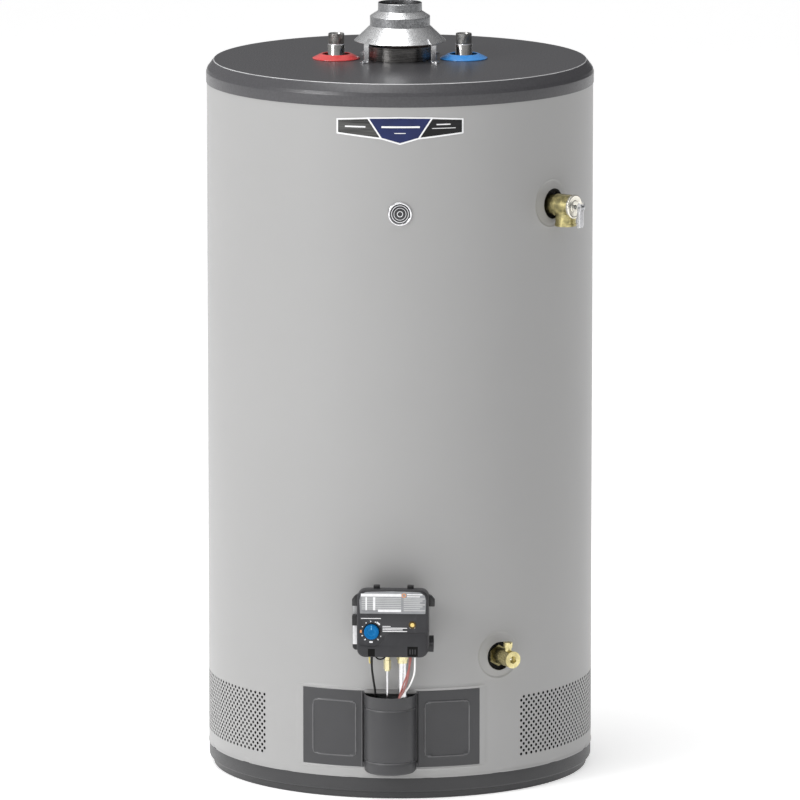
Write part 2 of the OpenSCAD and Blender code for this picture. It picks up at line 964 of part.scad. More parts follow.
module relief_cap() {
    color("#d8d4c4")
        side_fitting(relief_az, relief_z)
            difference() {
                union() {
                    bar_x(19, cap_u, cap_u + 4);
                    bar_x(17.6, cap_u + 4, cap_u + 5.4);
                }
                bar_x(3, cap_u - 1, cap_u + 8);
            }
}

module relief_spring() {
    turns = 5;
    u0 = relief_disc_u + relief_lift + 2.1;
    u1 = cap_u - 1.4;
    coil = [for (i = [0:turns * 14])
        let (a = 360 * i / 14)
        [u0 + (u1 - u0) * i / (turns * 14), 7.5 * cos(a), 7.5 * sin(a)]];
    color("#8b8d90")
        side_fitting(relief_az, relief_z)
            wire(coil, 0.8, 6);
}

module relief_stem() {
    color("#a9abad")
        side_fitting(relief_az, relief_z)
            difference() {
                union() {
                    bar_x(10.5, relief_disc_u - 3, relief_disc_u);
                    bar_x(2.4, relief_disc_u, pin_u - 2);
                    translate([pin_u, 0, 0])
                        bar_y(4.2, -3.9, 3.9);
                }
                translate([pin_u, 0, 0])
                    bar_y(1.55, -5, 5);
            }
}

module relief_probe() {
    color("#b87a4a")
        side_fitting(relief_az, relief_z) {
            bar_x(3, -42, 5.2);
            bar_x(5, -150, -42);
        }
}

module lever_pin() {
    color("#6f7174")
        side_fitting(relief_az, relief_z)
            translate([pin_u, 0, 0])
                bar_y(1.5, -6.6, 6.6);
}

module relief_lever() {
    half = 5.5;                          // half of the lever's width
    t = 1.2;
    tip_z = -33;
    side = [[-3.5, tip_z], [-3.5, 4.5], [-2, 7], [1, 7.4], [3.4, 5.6], [4.2, 2.5], [3.8, -2], [1, -7],
        [1, tip_z + 3], [-1, tip_z]];
    color("#b9babc")
        side_fitting(relief_az, relief_z)
            translate([pin_u, 0, 0])
                difference() {
                    union() {
                        translate([-3.5, -half, tip_z])
                            cube([t, 2 * half, -5 - tip_z]);
                        for (y = [half, t - half])
                            translate([0, y, 0])
                                rotate([90, 0, 0])
                                    linear_extrude(t)
                                        polygon(side);
                    }
                    bar_y(1.6, -8, 8);
                }
}

// ---- drain valve -----------------------------------------------------------------------------

module drain_body() {
    color("#c2ae58")
        side_fitting(drain_az, drain_z)
            difference() {
                union() {
                    bar_x(fitting_r, -36, -16);
                    hex_x(30, -16, -5);
                    bar_x(12.8, -5, outlet_u - 9.5);
                    bar_x(13.45, outlet_u - 9.5, outlet_u);
                    translate([drain_ball_u, 0, 0])
                        cylinder(r = 5.6, h = 17.6);
                }
                bar_x(5, -37, drain_ball_u);
                translate([drain_ball_u, 0, 0])
                    sphere(r = 9.3);
                bar_x(5, drain_ball_u, outlet_u);
                hex_x(11.2, outlet_u - 6, outlet_u + 1);
                translate([drain_ball_u, 0, 0])
                    cylinder(r = 3.1, h = 25);
            }
}

module drain_ball() {
    color("#cdd0d2")
        side_fitting(drain_az, drain_z)
            translate([drain_ball_u, 0, 0])
                difference() {
                    sphere(r = 9);
                    bar_y(4.5, -12, 12);
                    translate([-4, -1.3, 6.4])
                        cube([8, 2.6, 4]);
                }
}

module drain_stem() {
    color("#c8b560")
        side_fitting(drain_az, drain_z)
            translate([drain_ball_u, 0, 0])
                difference() {
                    union() {
                        translate([-2.2, -1.1, 6.8])
                            cube([4.4, 2.2, 3]);
                        translate([0, 0, 9.2])
                            cylinder(r = 3, h = 10);
                        translate([0, 0, 18])
                            cylinder(r = 7.2, h = 8);
                    }
                    translate([-8, -0.8, 24.2])
                        cube([16, 1.6, 3]);
                }
}

// ---- draft hood ------------------------------------------------------------------------------

module draft_hood() {
    t = 0.9;
    r1 = vent_od / 2;
    r2 = 47.9;
    r3 = skirt_od / 2;
    color("#c6c8ca")
        translate([0, 0, lid_top_z])
            rotate_extrude()
                polygon([[r1, hood_h], [r1, 77], [r2, 68.7], [r2, 53.5], [r3, 29.5], [r3 - 0.7, 28.9],
                    [r2 - t, 53.1], [r2 - t, 68.2], [r1 - t, 76.5], [r1 - t, hood_h]]);
}

// Places its children at the four hood legs, with +X outwards and z = 0 on the lid
module at_hood_legs() {
    for (i = [0:3])
        rotate([0, 0, top_turn - 45 + 90 * i])
            translate([0, 0, lid_top_z])
                children();
}

module hood_legs() {
    color("#b4b6b8")
        at_hood_legs()
            difference() {
                translate([0, 4.5, 0])
                    rotate([90, 0, 0])
                        linear_extrude(9)
                            polygon([[74.9, 0.2], [74.9, 28.6], [65.5, 37.6], [66.3, 38.5], [76.1, 29.1],
                                [76.1, 1.4], [87, 1.4], [87, 0.2]]);
                translate([81.5, 0, -1])
                    cylinder(r = 2.2, h = 4);
            }
}

module hood_screws() {
    color("#d8d9da")
        at_hood_legs()
            translate([81.5, 0, 0]) {
                translate([0, 0, -2.6])
                    cylinder(r = 1.9, h = 4.2);
                translate([0, 0, 1.6])
                    cylinder(r = 3.8, h = 2);
            }
}

// ---- marks on the jacket ---------------------------------------------------------------------

module name_strip() {
    color("#2a3350")
        at_azimuth(top_turn)
            intersection() {
                ring(jacket_r + 0.9, jacket_r + 0.2, 1040, 1100);
                translate([0, -jacket_r + 60, 0])
                    rotate([90, 0, 0])
                        linear_extrude(80)
                            polygon([[-98, strip_z[2]], [-98, strip_z[3]], [-50, strip_z[4]], [0, strip_z[5]],
                                [50, strip_z[4]], [98, strip_z[3]], [98, strip_z[2]], [28.4, strip_z[1]],
                                [0, strip_z[0]], [-28.4, strip_z[1]]]);
            }
}

module badge() {
    color("#3a3d42")
        at_azimuth(top_turn)
            translate([0, 0, badge_z]) {
                bar_y(18.9, -jacket_r - 2, -jacket_r - 0.1);
                bar_y(15.5, -jacket_r - 2.8, -jacket_r - 2);
            }
}

// ---- access door -----------------------------------------------------------------------------

module access_door() {
    r = jacket_r + 0.4;
    color("#55565a")
        at_azimuth(door_turn)
            difference() {
                union() {
                    ring_sector(r + door_t, r, door_z0, door_z1, door_half_deg);
                    difference() {
                        translate([0, pocket_cy, pocket_z0])
                            cylinder(r = pocket_r, h = pocket_z1 - pocket_z0);
                        cylinder(r = r, h = pocket_z1 + 2);
                    }
                }
                translate([0, pocket_cy, pocket_z0 + pocket_t])
                    cylinder(r = pocket_r - pocket_t, h = 200);
            }
}

// ----------------------------------------------------------------------------------------------

base_pan();
support_legs();
jacket();
lid();
inner_tank();
flue_tube();
flue_baffle();
foam_insulation();
chamber_blanket();
chamber_skirt();
chamber_floor();
flame_arrestor();
lint_screen();
burner();
manifold_tube();
pilot_assembly();
pilot_tube();
inner_door();
door_gasket();
inner_door_screws();
sight_glass();
thermal_switch();
valve_body();
valve_cover();
valve_panel();
left_connector();
right_connector();
status_light();
thermostat_probe();
tube_nuts();
black_wire();
red_wire();
white_wire();
hot_nipple();
cold_nipple();
heat_trap_inserts();
hot_trap_ball();
cold_trap_ball();
hot_escutcheon();
cold_escutcheon();
dip_tube();
anode_rod();
relief_body();
relief_cap();
relief_spring();
relief_stem();
relief_probe();
relief_lever();
lever_pin();
drain_body();
drain_ball();
drain_stem();
draft_hood();
hood_legs();
hood_screws();
name_strip();
badge();
access_door();
control_stem();
control_knob();
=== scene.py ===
"""Looks of a gas storage water heater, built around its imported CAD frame. Metres, row frame."""

import json
import math

import bmesh
import bpy
from mathutils import Matrix, Vector, noise


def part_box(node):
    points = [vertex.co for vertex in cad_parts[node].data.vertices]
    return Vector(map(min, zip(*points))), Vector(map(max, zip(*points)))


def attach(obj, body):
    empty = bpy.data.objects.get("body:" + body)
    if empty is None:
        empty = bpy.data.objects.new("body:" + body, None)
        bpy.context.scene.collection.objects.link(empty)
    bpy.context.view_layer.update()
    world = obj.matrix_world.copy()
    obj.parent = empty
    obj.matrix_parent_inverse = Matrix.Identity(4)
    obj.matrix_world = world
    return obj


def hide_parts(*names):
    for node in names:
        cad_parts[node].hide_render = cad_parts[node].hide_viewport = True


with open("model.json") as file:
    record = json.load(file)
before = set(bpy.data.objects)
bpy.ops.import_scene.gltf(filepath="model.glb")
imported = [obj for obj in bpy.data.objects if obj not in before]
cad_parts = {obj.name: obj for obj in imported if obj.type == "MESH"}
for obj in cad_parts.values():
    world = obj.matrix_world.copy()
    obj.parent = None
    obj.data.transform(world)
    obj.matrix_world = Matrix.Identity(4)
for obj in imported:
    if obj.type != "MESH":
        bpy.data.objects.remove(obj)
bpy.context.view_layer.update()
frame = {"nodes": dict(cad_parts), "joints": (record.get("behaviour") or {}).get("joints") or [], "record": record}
MM = 0.001
DEG = math.radians(1)
HEATER = "heater"
JOINTS = {j["name"]: j for j in frame["joints"]}
MOUNTS = {m["name"]: m for m in frame["record"]["mounts"]}


# ---- places read from the frame ----------------------------------------------------------------

def middle(node):
    lo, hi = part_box(node)
    return (lo + hi) / 2


JACKET_LO, JACKET_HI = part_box("jacket")
JACKET_R = JACKET_HI.x
LID_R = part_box("lid")[1].x
LID_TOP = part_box("lid")[1].z
LID_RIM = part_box("lid")[0].z
FLUE_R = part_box("flue_tube")[1].x
HOT = middle("hot_nipple")
COLD = middle("cold_nipple")
TOP_TURN = math.degrees(math.atan2(COLD.y, COLD.x))
RELIEF_AXIS = Vector(JOINTS["relief_lift"]["axis"])
RELIEF_AZ = math.degrees(math.atan2(RELIEF_AXIS.x, -RELIEF_AXIS.y))
RELIEF_Z = JOINTS["lever_turn"]["pos_m"][2]
RELIEF_PIN = math.hypot(*JOINTS["lever_turn"]["pos_m"][:2]) - JACKET_R
DRAIN_AXIS = Vector(MOUNTS["drain_outlet"]["axis"])
DRAIN_AZ = math.degrees(math.atan2(DRAIN_AXIS.x, -DRAIN_AXIS.y))
DRAIN_Z = MOUNTS["drain_outlet"]["pos_m"][2]
KNOB = middle("control_knob")
LIGHT = middle("status_light")
DOOR_LO, DOOR_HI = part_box("access_door")
DOOR_HALF = 27.0                       # half of the access door, in degrees
DOOR_TURN = math.degrees(math.asin((DOOR_LO.x + DOOR_HI.x) / 2 / JACKET_R / math.cos(DOOR_HALF * DEG)))
BADGE = middle("badge")
STRIP_LO, STRIP_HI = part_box("name_strip")


# ---- materials ---------------------------------------------------------------------------------

def grade(nt, source, low, high, from_low=0.35, from_high=0.65):
    """Maps a noise to a range of values."""
    node = nt.nodes.new("ShaderNodeMapRange")
    node.inputs["From Min"].default_value = from_low
    node.inputs["From Max"].default_value = from_high
    node.inputs["To Min"].default_value = low
    node.inputs["To Max"].default_value = high
    nt.links.new(source, node.inputs["Value"])
    return node.outputs["Result"]


def mix_colour(nt, factor, a, b):
    """Mixes two colours, each a tuple or a socket."""
    node = nt.nodes.new("ShaderNodeMix")
    node.data_type = "RGBA"
    sockets = {"A": node.inputs[6], "B": node.inputs[7]}
    nt.links.new(factor, node.inputs[0])
    for key, value in (("A", a), ("B", b)):
        if isinstance(value, tuple):
            sockets[key].default_value = (*value, 1)
        else:
            nt.links.new(value, sockets[key])
    return node.outputs[2]


def noise_at(nt, coords, scale, detail):
    node = nt.nodes.new("ShaderNodeTexNoise")
    node.inputs["Scale"].default_value = scale
    node.inputs["Detail"].default_value = detail
    node.inputs["Roughness"].default_value = 0.5
    nt.links.new(coords, node.inputs["Vector"])
    return node.outputs["Fac"]


def shade(colour, k):
    return tuple(min(1, max(0, c * k)) for c in colour)


def finish_of(name, colour, rough=0.5, metal=0.0, coat=0.0, coat_rough=0.1, vary=0.06, blotch=10,
              grain=500, bump=0.02, edge_wear_and_highlight=None, wear_from=0.53, stretch=(1, 1, 1), spangle=0, spangle_dark=0.8,
              second=None, rough_vary=0.18, specular=0.5, shade_well=None):
    """Principled finish: colour variation, uneven gloss, fine relief and, if asked, lighter sharp edges (edge
    wear, and a painted highlight on the door) and painted shade inside a given radius.
    """
    mat = bpy.data.materials.new(name)
    mat.use_nodes = True
    nt = mat.node_tree
    bsdf = nt.nodes["Principled BSDF"]
    bsdf.inputs["Metallic"].default_value = metal
    bsdf.inputs["Coat Weight"].default_value = coat
    bsdf.inputs["Coat Roughness"].default_value = coat_rough
    bsdf.inputs["Specular IOR Level"].default_value = specular
    place = nt.nodes.new("ShaderNodeTexCoord").outputs["Object"]
    mapping = nt.nodes.new("ShaderNodeMapping")
    mapping.inputs["Scale"].default_value = stretch
    nt.links.new(place, mapping.inputs["Vector"])
    coords = mapping.outputs["Vector"]
    broad = noise_at(nt, coords, blotch, 4)
    fine = noise_at(nt, coords, grain, 3)
    light, dark = shade(colour, 1 + vary), second or shade(colour, 1 - vary)
    paint = mix_colour(nt, grade(nt, broad, 0, 1), dark, light)
    if spangle:
        cells = nt.nodes.new("ShaderNodeTexVoronoi")
        cells.inputs["Scale"].default_value = spangle
        nt.links.new(coords, cells.inputs["Vector"])
        tone = nt.nodes.new("ShaderNodeSeparateColor")
        nt.links.new(cells.outputs["Color"], tone.inputs["Color"])
        paint = mix_colour(nt, grade(nt, tone.outputs["Red"], 0, 1, 0, 1), shade(colour, spangle_dark), paint)
        nt.links.new(grade(nt, tone.outputs["Green"], rough * 0.7, rough * 1.5, 0, 1),
                     bsdf.inputs["Roughness"])
    else:
        nt.links.new(grade(nt, fine, rough * (1 - rough_vary), rough * (1 + rough_vary)),
                     bsdf.inputs["Roughness"])
    # Painted shade: the colour darkens to about a fifth inside the given radius from the upright axis, where a
    # fitting sits sunk in its hole in the jacket.
    if shade_well:
        flat = nt.nodes.new("ShaderNodeVectorMath")
        flat.operation = "MULTIPLY"
        flat.inputs[1].default_value = (1, 1, 0)
        nt.links.new(place, flat.inputs[0])
        span = nt.nodes.new("ShaderNodeVectorMath")
        span.operation = "LENGTH"
        nt.links.new(flat.outputs["Vector"], span.inputs[0])
        paint = mix_colour(nt, grade(nt, span.outputs["Value"], 0, 1, *shade_well), shade(colour, 0.22), paint)
    # Lighter colour on sharp edges, found by pointiness: edge wear on the metal parts, a painted highlight along
    # the door's ridges.
    if edge_wear_and_highlight:
        edge = nt.nodes.new("ShaderNodeNewGeometry").outputs["Pointiness"]
        paint = mix_colour(nt, grade(nt, edge, 0, 0.8, wear_from, wear_from + 0.06), paint, edge_wear_and_highlight)
    nt.links.new(paint, bsdf.inputs["Base Color"])
    relief = nt.nodes.new("ShaderNodeBump")
    relief.inputs["Strength"].default_value = 0.6
    relief.inputs["Distance"].default_value = bump * MM
    nt.links.new(fine, relief.inputs["Height"])
    nt.links.new(relief.outputs["Normal"], bsdf.inputs["Normal"])
    return mat


def glass_of(name, colour):
    mat = finish_of(name, colour, rough=0.06, grain=200, bump=0.01)
    bsdf = mat.node_tree.nodes["Principled BSDF"]
    bsdf.inputs["Transmission Weight"].default_value = 0.85
    bsdf.inputs["IOR"].default_value = 1.47
    return mat


MAT = {
    "jacket_paint": finish_of("jacket_enamel", (0.364, 0.362, 0.36), 0.4, coat=0.1, coat_rough=0.25,
                              vary=0.012, blotch=3, grain=900, bump=0.02, rough_vary=0.08),
    "lid_paint": finish_of("lid_enamel", (0.06, 0.059, 0.064), 0.36, coat=0.15, coat_rough=0.2, vary=0.08,
                           blotch=260, grain=420, bump=0.3),
    "base_paint": finish_of("base_enamel", (0.034, 0.034, 0.036), 0.45, coat=0.1, coat_rough=0.25, vary=0.06,
                            blotch=9, grain=700, bump=0.04, edge_wear_and_highlight=(0.2, 0.2, 0.2), wear_from=0.56),
    # The door's lighter sharp edges are a painted highlight along its ridges.
    "door_paint": finish_of("door_enamel", (0.041, 0.041, 0.044), 0.42, coat=0.1, coat_rough=0.25,
                            vary=0.05, blotch=14, grain=800, bump=0.03, edge_wear_and_highlight=(0.16, 0.16, 0.165),
                            wear_from=0.56),
    # Lighter copy of the door paint: painted highlight on the ridges' crests and the grooves' lower lips.
    "door_painted_highlight": finish_of("door_painted_highlight", (0.12, 0.12, 0.124), 0.38, coat=0.1, vary=0.08, blotch=90, grain=800,
                          bump=0.02),
    "galvanised": finish_of("galvanised_sheet", (0.9, 0.905, 0.915), 0.3, metal=1, vary=0.04, blotch=40,
                            grain=1500, bump=0.03, spangle=640, spangle_dark=0.84),
    # Darker copy of the galvanised sheet: painted shade for the hood's upright bands.
    "galvanised_painted_shade": finish_of("galvanised_painted_shade", (0.36, 0.365, 0.375), 0.34, metal=1, vary=0.08, blotch=60,
                                 grain=1500, bump=0.04, spangle=760, spangle_dark=0.55),
    "leg_steel": finish_of("leg_steel", (0.8, 0.8, 0.81), 0.2, metal=1, vary=0.05, blotch=90, grain=1500,
                           bump=0.02, stretch=(1, 1, 0.2)),
    "flue_steel": finish_of("flue_steel", (0.17, 0.165, 0.16), 0.3, metal=1, vary=0.3, blotch=420, grain=1500,
                            bump=0.03, stretch=(0.1, 0.1, 1)),
    "baffle_steel": finish_of("baffle_steel", (0.3, 0.24, 0.2), 0.5, metal=1, vary=0.25, blotch=25,
                              grain=600, bump=0.05, second=(0.16, 0.13, 0.16)),
    "steel": finish_of("plain_steel", (0.42, 0.43, 0.44), 0.4, metal=1, vary=0.12, blotch=40, grain=900,
                       bump=0.03, edge_wear_and_highlight=(0.6, 0.6, 0.62)),
    "tank_steel": finish_of("tank_enamel", (0.06, 0.1, 0.13), 0.5, vary=0.2, blotch=12, grain=300,
                            bump=0.1),
    "foam": finish_of("foam", (0.72, 0.6, 0.34), 0.9, vary=0.15, blotch=60, grain=260, bump=0.8),
    "glass_wool": finish_of("glass_wool", (0.62, 0.46, 0.44), 0.95, vary=0.2, blotch=60, grain=420,
                            bump=1.2, stretch=(1, 1, 3)),
    "arrestor_ceramic": finish_of("arrestor_ceramic", (0.3, 0.28, 0.25), 0.8, vary=0.18, blotch=60,
                                  grain=500, bump=0.2),
    "aluminium_tube": finish_of("drawn_aluminium", (0.8, 0.8, 0.81), 0.3, metal=1, vary=0.06, blotch=60,
                                grain=900, bump=0.02, stretch=(1, 1, 0.1)),
    "gasket": finish_of("gasket", (0.5, 0.48, 0.43), 0.95, vary=0.15, blotch=90, grain=700, bump=0.4),
    "screw_zinc": finish_of("zinc_screws", (0.7, 0.71, 0.73), 0.26, metal=1, vary=0.1, blotch=200,
                            grain=1500, bump=0.02),
    "sight_glass": glass_of("sight_glass", (0.75, 0.86, 0.88)),
    "black_plastic": finish_of("black_plastic", (0.014, 0.014, 0.015), 0.45, vary=0.2, blotch=120,
                               grain=1500, bump=0.05, edge_wear_and_highlight=(0.05, 0.05, 0.05)),
    "valve_casting": finish_of("black_casting", (0.03, 0.03, 0.032), 0.5, metal=0.4, vary=0.2, blotch=90,
                               grain=1100, bump=0.15, edge_wear_and_highlight=(0.1, 0.1, 0.105)),
    "cover_plastic": finish_of("cover_plastic", (0.03, 0.03, 0.033), 0.5, specular=0.35, vary=0.06, blotch=60,
                               grain=1800, bump=0.05, edge_wear_and_highlight=(0.1, 0.1, 0.105), wear_from=0.55),
    "panel_film": finish_of("panel_film", (0.27, 0.275, 0.285), 0.4, specular=0.3, vary=0.12, blotch=70,
                            grain=900, bump=0.01),
    "amber_lens": finish_of("amber_lens", (0.9, 0.66, 0.2), 0.22, coat=0.6, coat_rough=0.05, vary=0.1,
                            blotch=300, grain=1200, bump=0.01),
    # Both brasses darken inside the jacket's radius: painted shade of the holes the fittings sit in.
    "brass": finish_of("bright_brass", (0.78, 0.69, 0.36), 0.3, metal=1, vary=0.12, blotch=70, grain=900,
                       bump=0.08, second=(0.56, 0.49, 0.24), edge_wear_and_highlight=(0.85, 0.78, 0.5),
                       shade_well=(JACKET_R - 6 * MM, JACKET_R + 12 * MM)),
    "relief_brass": finish_of("cast_brass", (0.56, 0.49, 0.23), 0.38, metal=1, vary=0.2,
                              blotch=150, grain=620, bump=0.3, second=(0.3, 0.27, 0.13), edge_wear_and_highlight=(0.78, 0.7, 0.42),
                              shade_well=(JACKET_R - 9 * MM, JACKET_R + 2 * MM)),
    "black_wire": finish_of("black_insulation", (0.004, 0.004, 0.004), 0.5, specular=0.25, vary=0.2,
                            blotch=90, grain=900, bump=0.03),
    "red_wire": finish_of("red_insulation", (0.36, 0.1, 0.085), 0.42, vary=0.12, blotch=90, grain=900,
                          bump=0.03),
    "white_wire": finish_of("white_insulation", (0.88, 0.88, 0.87), 0.42, vary=0.04, blotch=90, grain=900,
                            bump=0.03),
    "nipple_steel": finish_of("nipple_steel", (0.4, 0.395, 0.385), 0.24, metal=1, vary=0.12, blotch=90,
                              grain=900, bump=0.04),
    "nipple_thread": finish_of("nipple_thread", (0.24, 0.237, 0.23), 0.36, metal=1, vary=0.3, blotch=160,
                               grain=900, bump=0.08, edge_wear_and_highlight=(0.5, 0.49, 0.47)),
    "white_plastic": finish_of("white_plastic", (0.8, 0.8, 0.78), 0.45, vary=0.04, blotch=60, grain=900,
                               bump=0.03),
    "hot_plastic": finish_of("hot_plastic", (0.72, 0.07, 0.07), 0.26, coat=0.5, coat_rough=0.06, vary=0.05,
                             blotch=60, grain=900, bump=0.02, edge_wear_and_highlight=(0.9, 0.25, 0.25), wear_from=0.56),
    "cold_plastic": finish_of("cold_plastic", (0.045, 0.29, 0.75), 0.26, coat=0.5, coat_rough=0.06,
                              vary=0.05, blotch=60, grain=900, bump=0.02,
                              edge_wear_and_highlight=(0.2, 0.4, 0.8), wear_from=0.56),
    "anode_metal": finish_of("anode_metal", (0.5, 0.5, 0.5), 0.55, metal=1, vary=0.2, blotch=60,
                             grain=500, bump=0.1),
    "cap_metal": finish_of("cap_metal", (0.86, 0.83, 0.74), 0.24, metal=1, vary=0.1, blotch=120,
                           grain=1200, bump=0.05),
    "copper": finish_of("copper", (0.6, 0.32, 0.2), 0.35, metal=1, vary=0.2, blotch=60, grain=700,
                        bump=0.05),
    "lever_steel": finish_of("lever_steel", (0.72, 0.72, 0.73), 0.28, metal=1, vary=0.08, blotch=120,
                             grain=1500, bump=0.03, stretch=(1, 1, 0.2)),
    "chrome_ball": finish_of("chrome_ball", (0.82, 0.82, 0.84), 0.08, metal=1, vary=0.04, blotch=120,
                             grain=1500, bump=0.005),
    "strip_film": finish_of("strip_navy", (0.006, 0.014, 0.085), 0.4, coat=0.1, specular=0.35, vary=0.12,
                            blotch=50, grain=900, bump=0.01),
    "badge_metal": finish_of("badge_dark", (0.012, 0.013, 0.016), 0.2, coat=0.5, vary=0.2, blotch=150,
                             grain=1500, bump=0.01),
    "knob_plastic": finish_of("knob_plastic", (0.0, 0.13, 0.36), 0.5, specular=0.15, vary=0.08, blotch=150,
                              grain=1500, bump=0.03, edge_wear_and_highlight=(0.02, 0.2, 0.45), wear_from=0.56),
    # Light grey painted highlight along the lid's top edge.
    "lid_painted_highlight": finish_of("lid_painted_highlight", (0.62, 0.62, 0.63), 0.24, coat=0.5, vary=0.12, blotch=30, grain=900,
                          bump=0.02),
    "connector": finish_of("connector_plastic", (0.003, 0.003, 0.003), 0.6, specular=0.15, vary=0.3,
                           blotch=90, grain=900, bump=0.04),
}
WHITE_INK = finish_of("white_ink", (0.86, 0.86, 0.87), 0.35, coat=0.2, vary=0.03, blotch=80, grain=900,
                      bump=0.01)
GREY_INK = finish_of("grey_ink", (0.5, 0.505, 0.51), 0.4, vary=0.05, blotch=80, grain=900, bump=0.01)
BRUSHED_PRINT = finish_of("brushed_print", (0.062, 0.062, 0.06), 0.4, specular=0.35, vary=0.6, blotch=60,
                          grain=700, bump=0.01, stretch=(0.25, 0.25, 6))
BLACK_PRINT = finish_of("black_print", (0.009, 0.009, 0.01), 0.4, specular=0.3, vary=0.3, blotch=60,
                        grain=700, bump=0.01, stretch=(0.25, 0.25, 6))
SILVER = finish_of("silver_trim", (0.86, 0.86, 0.88), 0.16, metal=1, vary=0.04, blotch=150, grain=1500,
                   bump=0.005)
GOLD_TRIM = finish_of("lamp_bezel", (0.1, 0.065, 0.02), 0.35, metal=0.6, vary=0.2, blotch=200, grain=1200,
                      bump=0.02)
ORANGE_INK = finish_of("orange_ink", (0.75, 0.3, 0.1), 0.4, vary=0.05, blotch=80, grain=900, bump=0.01)
DUSTY_WIRE = finish_of("dusty_red_insulation", (0.3, 0.12, 0.11), 0.5, vary=0.12, blotch=90, grain=900,
                       bump=0.03)
# Near-black painted shade: behind the air holes, in the wells round the side valves, and on the jacket's inner
# side and hole walls.
PAINTED_SHADE_BLACK = finish_of("painted_shade_black", (0.006, 0.006, 0.006), 0.9, vary=0.3, blotch=60, grain=500, bump=0.3)
LABEL_INK = finish_of("label_ink", (0.84, 0.84, 0.85), 0.4, vary=0.05, blotch=200, grain=900, bump=0.01)
KNOB_INK = finish_of("knob_ink", (0.12, 0.42, 0.68), 0.45, vary=0.05, blotch=200, grain=900, bump=0.01)
YELLOW_WIRE = finish_of("yellow_insulation", (0.75, 0.62, 0.2), 0.42, vary=0.08, blotch=90, grain=900,
                        bump=0.03)


# ---- mesh helpers ------------------------------------------------------------------------------

def piece(name, verts, faces, material, body=HEATER, slot=None, stands_for=(), sharp=32, face_mats=None):
    """New mesh piece that rides on a body. material may be a list, picked per face by face_mats."""
    mesh = bpy.data.meshes.new(name)
    mesh.from_pydata([tuple(v) for v in verts], [], faces)
    mesh.update()
    obj = bpy.data.objects.new(name, mesh)
    bpy.context.scene.collection.objects.link(obj)
    for m in material if isinstance(material, list) else [material]:
        mesh.materials.append(m)
    if face_mats:
        mesh.polygons.foreach_set("material_index", face_mats)
    mesh.shade_smooth()
    mesh.set_sharp_from_angle(angle=sharp * DEG)
    if stands_for:
        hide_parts(*([stands_for] if isinstance(stands_for, str) else stands_for))
    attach(obj, body)
    return obj


def settle(obj, sharp=32):
    """Applies a new piece's modifiers and marks its sharp edges again."""
    graph = bpy.context.evaluated_depsgraph_get()
    done = bpy.data.meshes.new_from_object(obj.evaluated_get(graph))
    obj.modifiers.clear()
    obj.data = done
    done.shade_smooth()
    done.set_sharp_from_angle(angle=sharp * DEG)
    return obj


def soften(obj, width, segments=2):
    """Rounds a new piece's sharp edges."""
    mod = obj.modifiers.new("round", "BEVEL")
    mod.width = width
    mod.segments = segments
    mod.limit_method = "ANGLE"
    mod.angle_limit = 32 * DEG
    mod.use_clamp_overlap = True
    return settle(obj)


def cut(obj, *cutters):
    """Takes the cutters' shapes out of a new piece and removes them."""
    for c in cutters:
        mod = obj.modifiers.new("cut", "BOOLEAN")
        mod.object = c
        mod.operation = "DIFFERENCE"
        mod.solver = "EXACT"
    settle(obj)
    for c in cutters:
        bpy.data.objects.remove(c)
    return obj


def cutter(name, verts, faces):
    mesh = bpy.data.meshes.new(name)
    mesh.from_pydata([tuple(v) for v in verts], [], faces)
    obj = bpy.data.objects.new(name, mesh)
    bpy.context.scene.collection.objects.link(obj)
    return obj


def thicken(obj, wall):
    """Gives a sheet its thickness, on its inner side."""
    mod = obj.modifiers.new("wall", "SOLIDIFY")
    mod.thickness = wall
    mod.offset = -1
    return settle(obj)


def arc_corner(a, b, c, radius, steps):
    """Points that round the corner b between a and c."""
    u, w = (a - b), (c - b)
    lu, lw = u.length, w.length
    if lu < 1e-9 or lw < 1e-9:
        return [b]
    u, w = u / lu, w / lw
    angle = math.acos(max(-1, min(1, u.dot(w))))
    if angle > math.pi - 0.05 or angle < 0.05:
        return [b]
    reach = min(radius / math.tan(angle / 2), lu * 0.48, lw * 0.48)
    p, q = b + u * reach, b + w * reach
    mid = b + (u + w).normalized() * (reach / math.cos(angle / 2))
    r = (p - mid).length
    turn = math.pi - angle
    s = math.sin(turn) or 1e-9
    out = []
    for i in range(steps + 1):
        t = i / steps
        out.append(mid + ((p - mid) * math.sin((1 - t) * turn) + (q - mid) * math.sin(t * turn)) / s)
    return out if r > 0 else [b]


def rounded(points, radius, steps=4, closed=True):
    """Outline with its corners rounded. radius is one value or one for each point."""
    pts = [Vector(p) for p in points]
    n = len(pts)
    radii = radius if isinstance(radius, (list, tuple)) else [radius] * n
    out = []
    for i, b in enumerate(pts):
        ends = not closed and i in (0, n - 1)
        if ends or radii[i] == 0:
            out.append(b)
        else:
            out += arc_corner(pts[i - 1], b, pts[(i + 1) % n], radii[i], steps)
    return out


def turned(profile, segments=96, closed=True, centre=(0, 0), z0=0.0, swell=None, start=0, sweep=360):
    """Verts and faces of a profile of (r, z) turned about a vertical axis. swell changes r by angle."""
    full = sweep >= 360
    count = segments if full else segments + 1
    verts, faces, n = [], [], len(profile)
    for k in range(count):
        a = (start + sweep * k / segments) * DEG
        for r, z in profile:
            rr = r + (swell(a, r, z) if swell else 0)
            verts.append((centre[0] + rr * math.cos(a), centre[1] + rr * math.sin(a), z0 + z))
    spans = n if closed else n - 1
    for k in range(segments):
        k2 = (k + 1) % count
        for i in range(spans):
            j = (i + 1) % n
            faces.append((k * n + i, k2 * n + i, k2 * n + j, k * n + j))
    return verts, faces


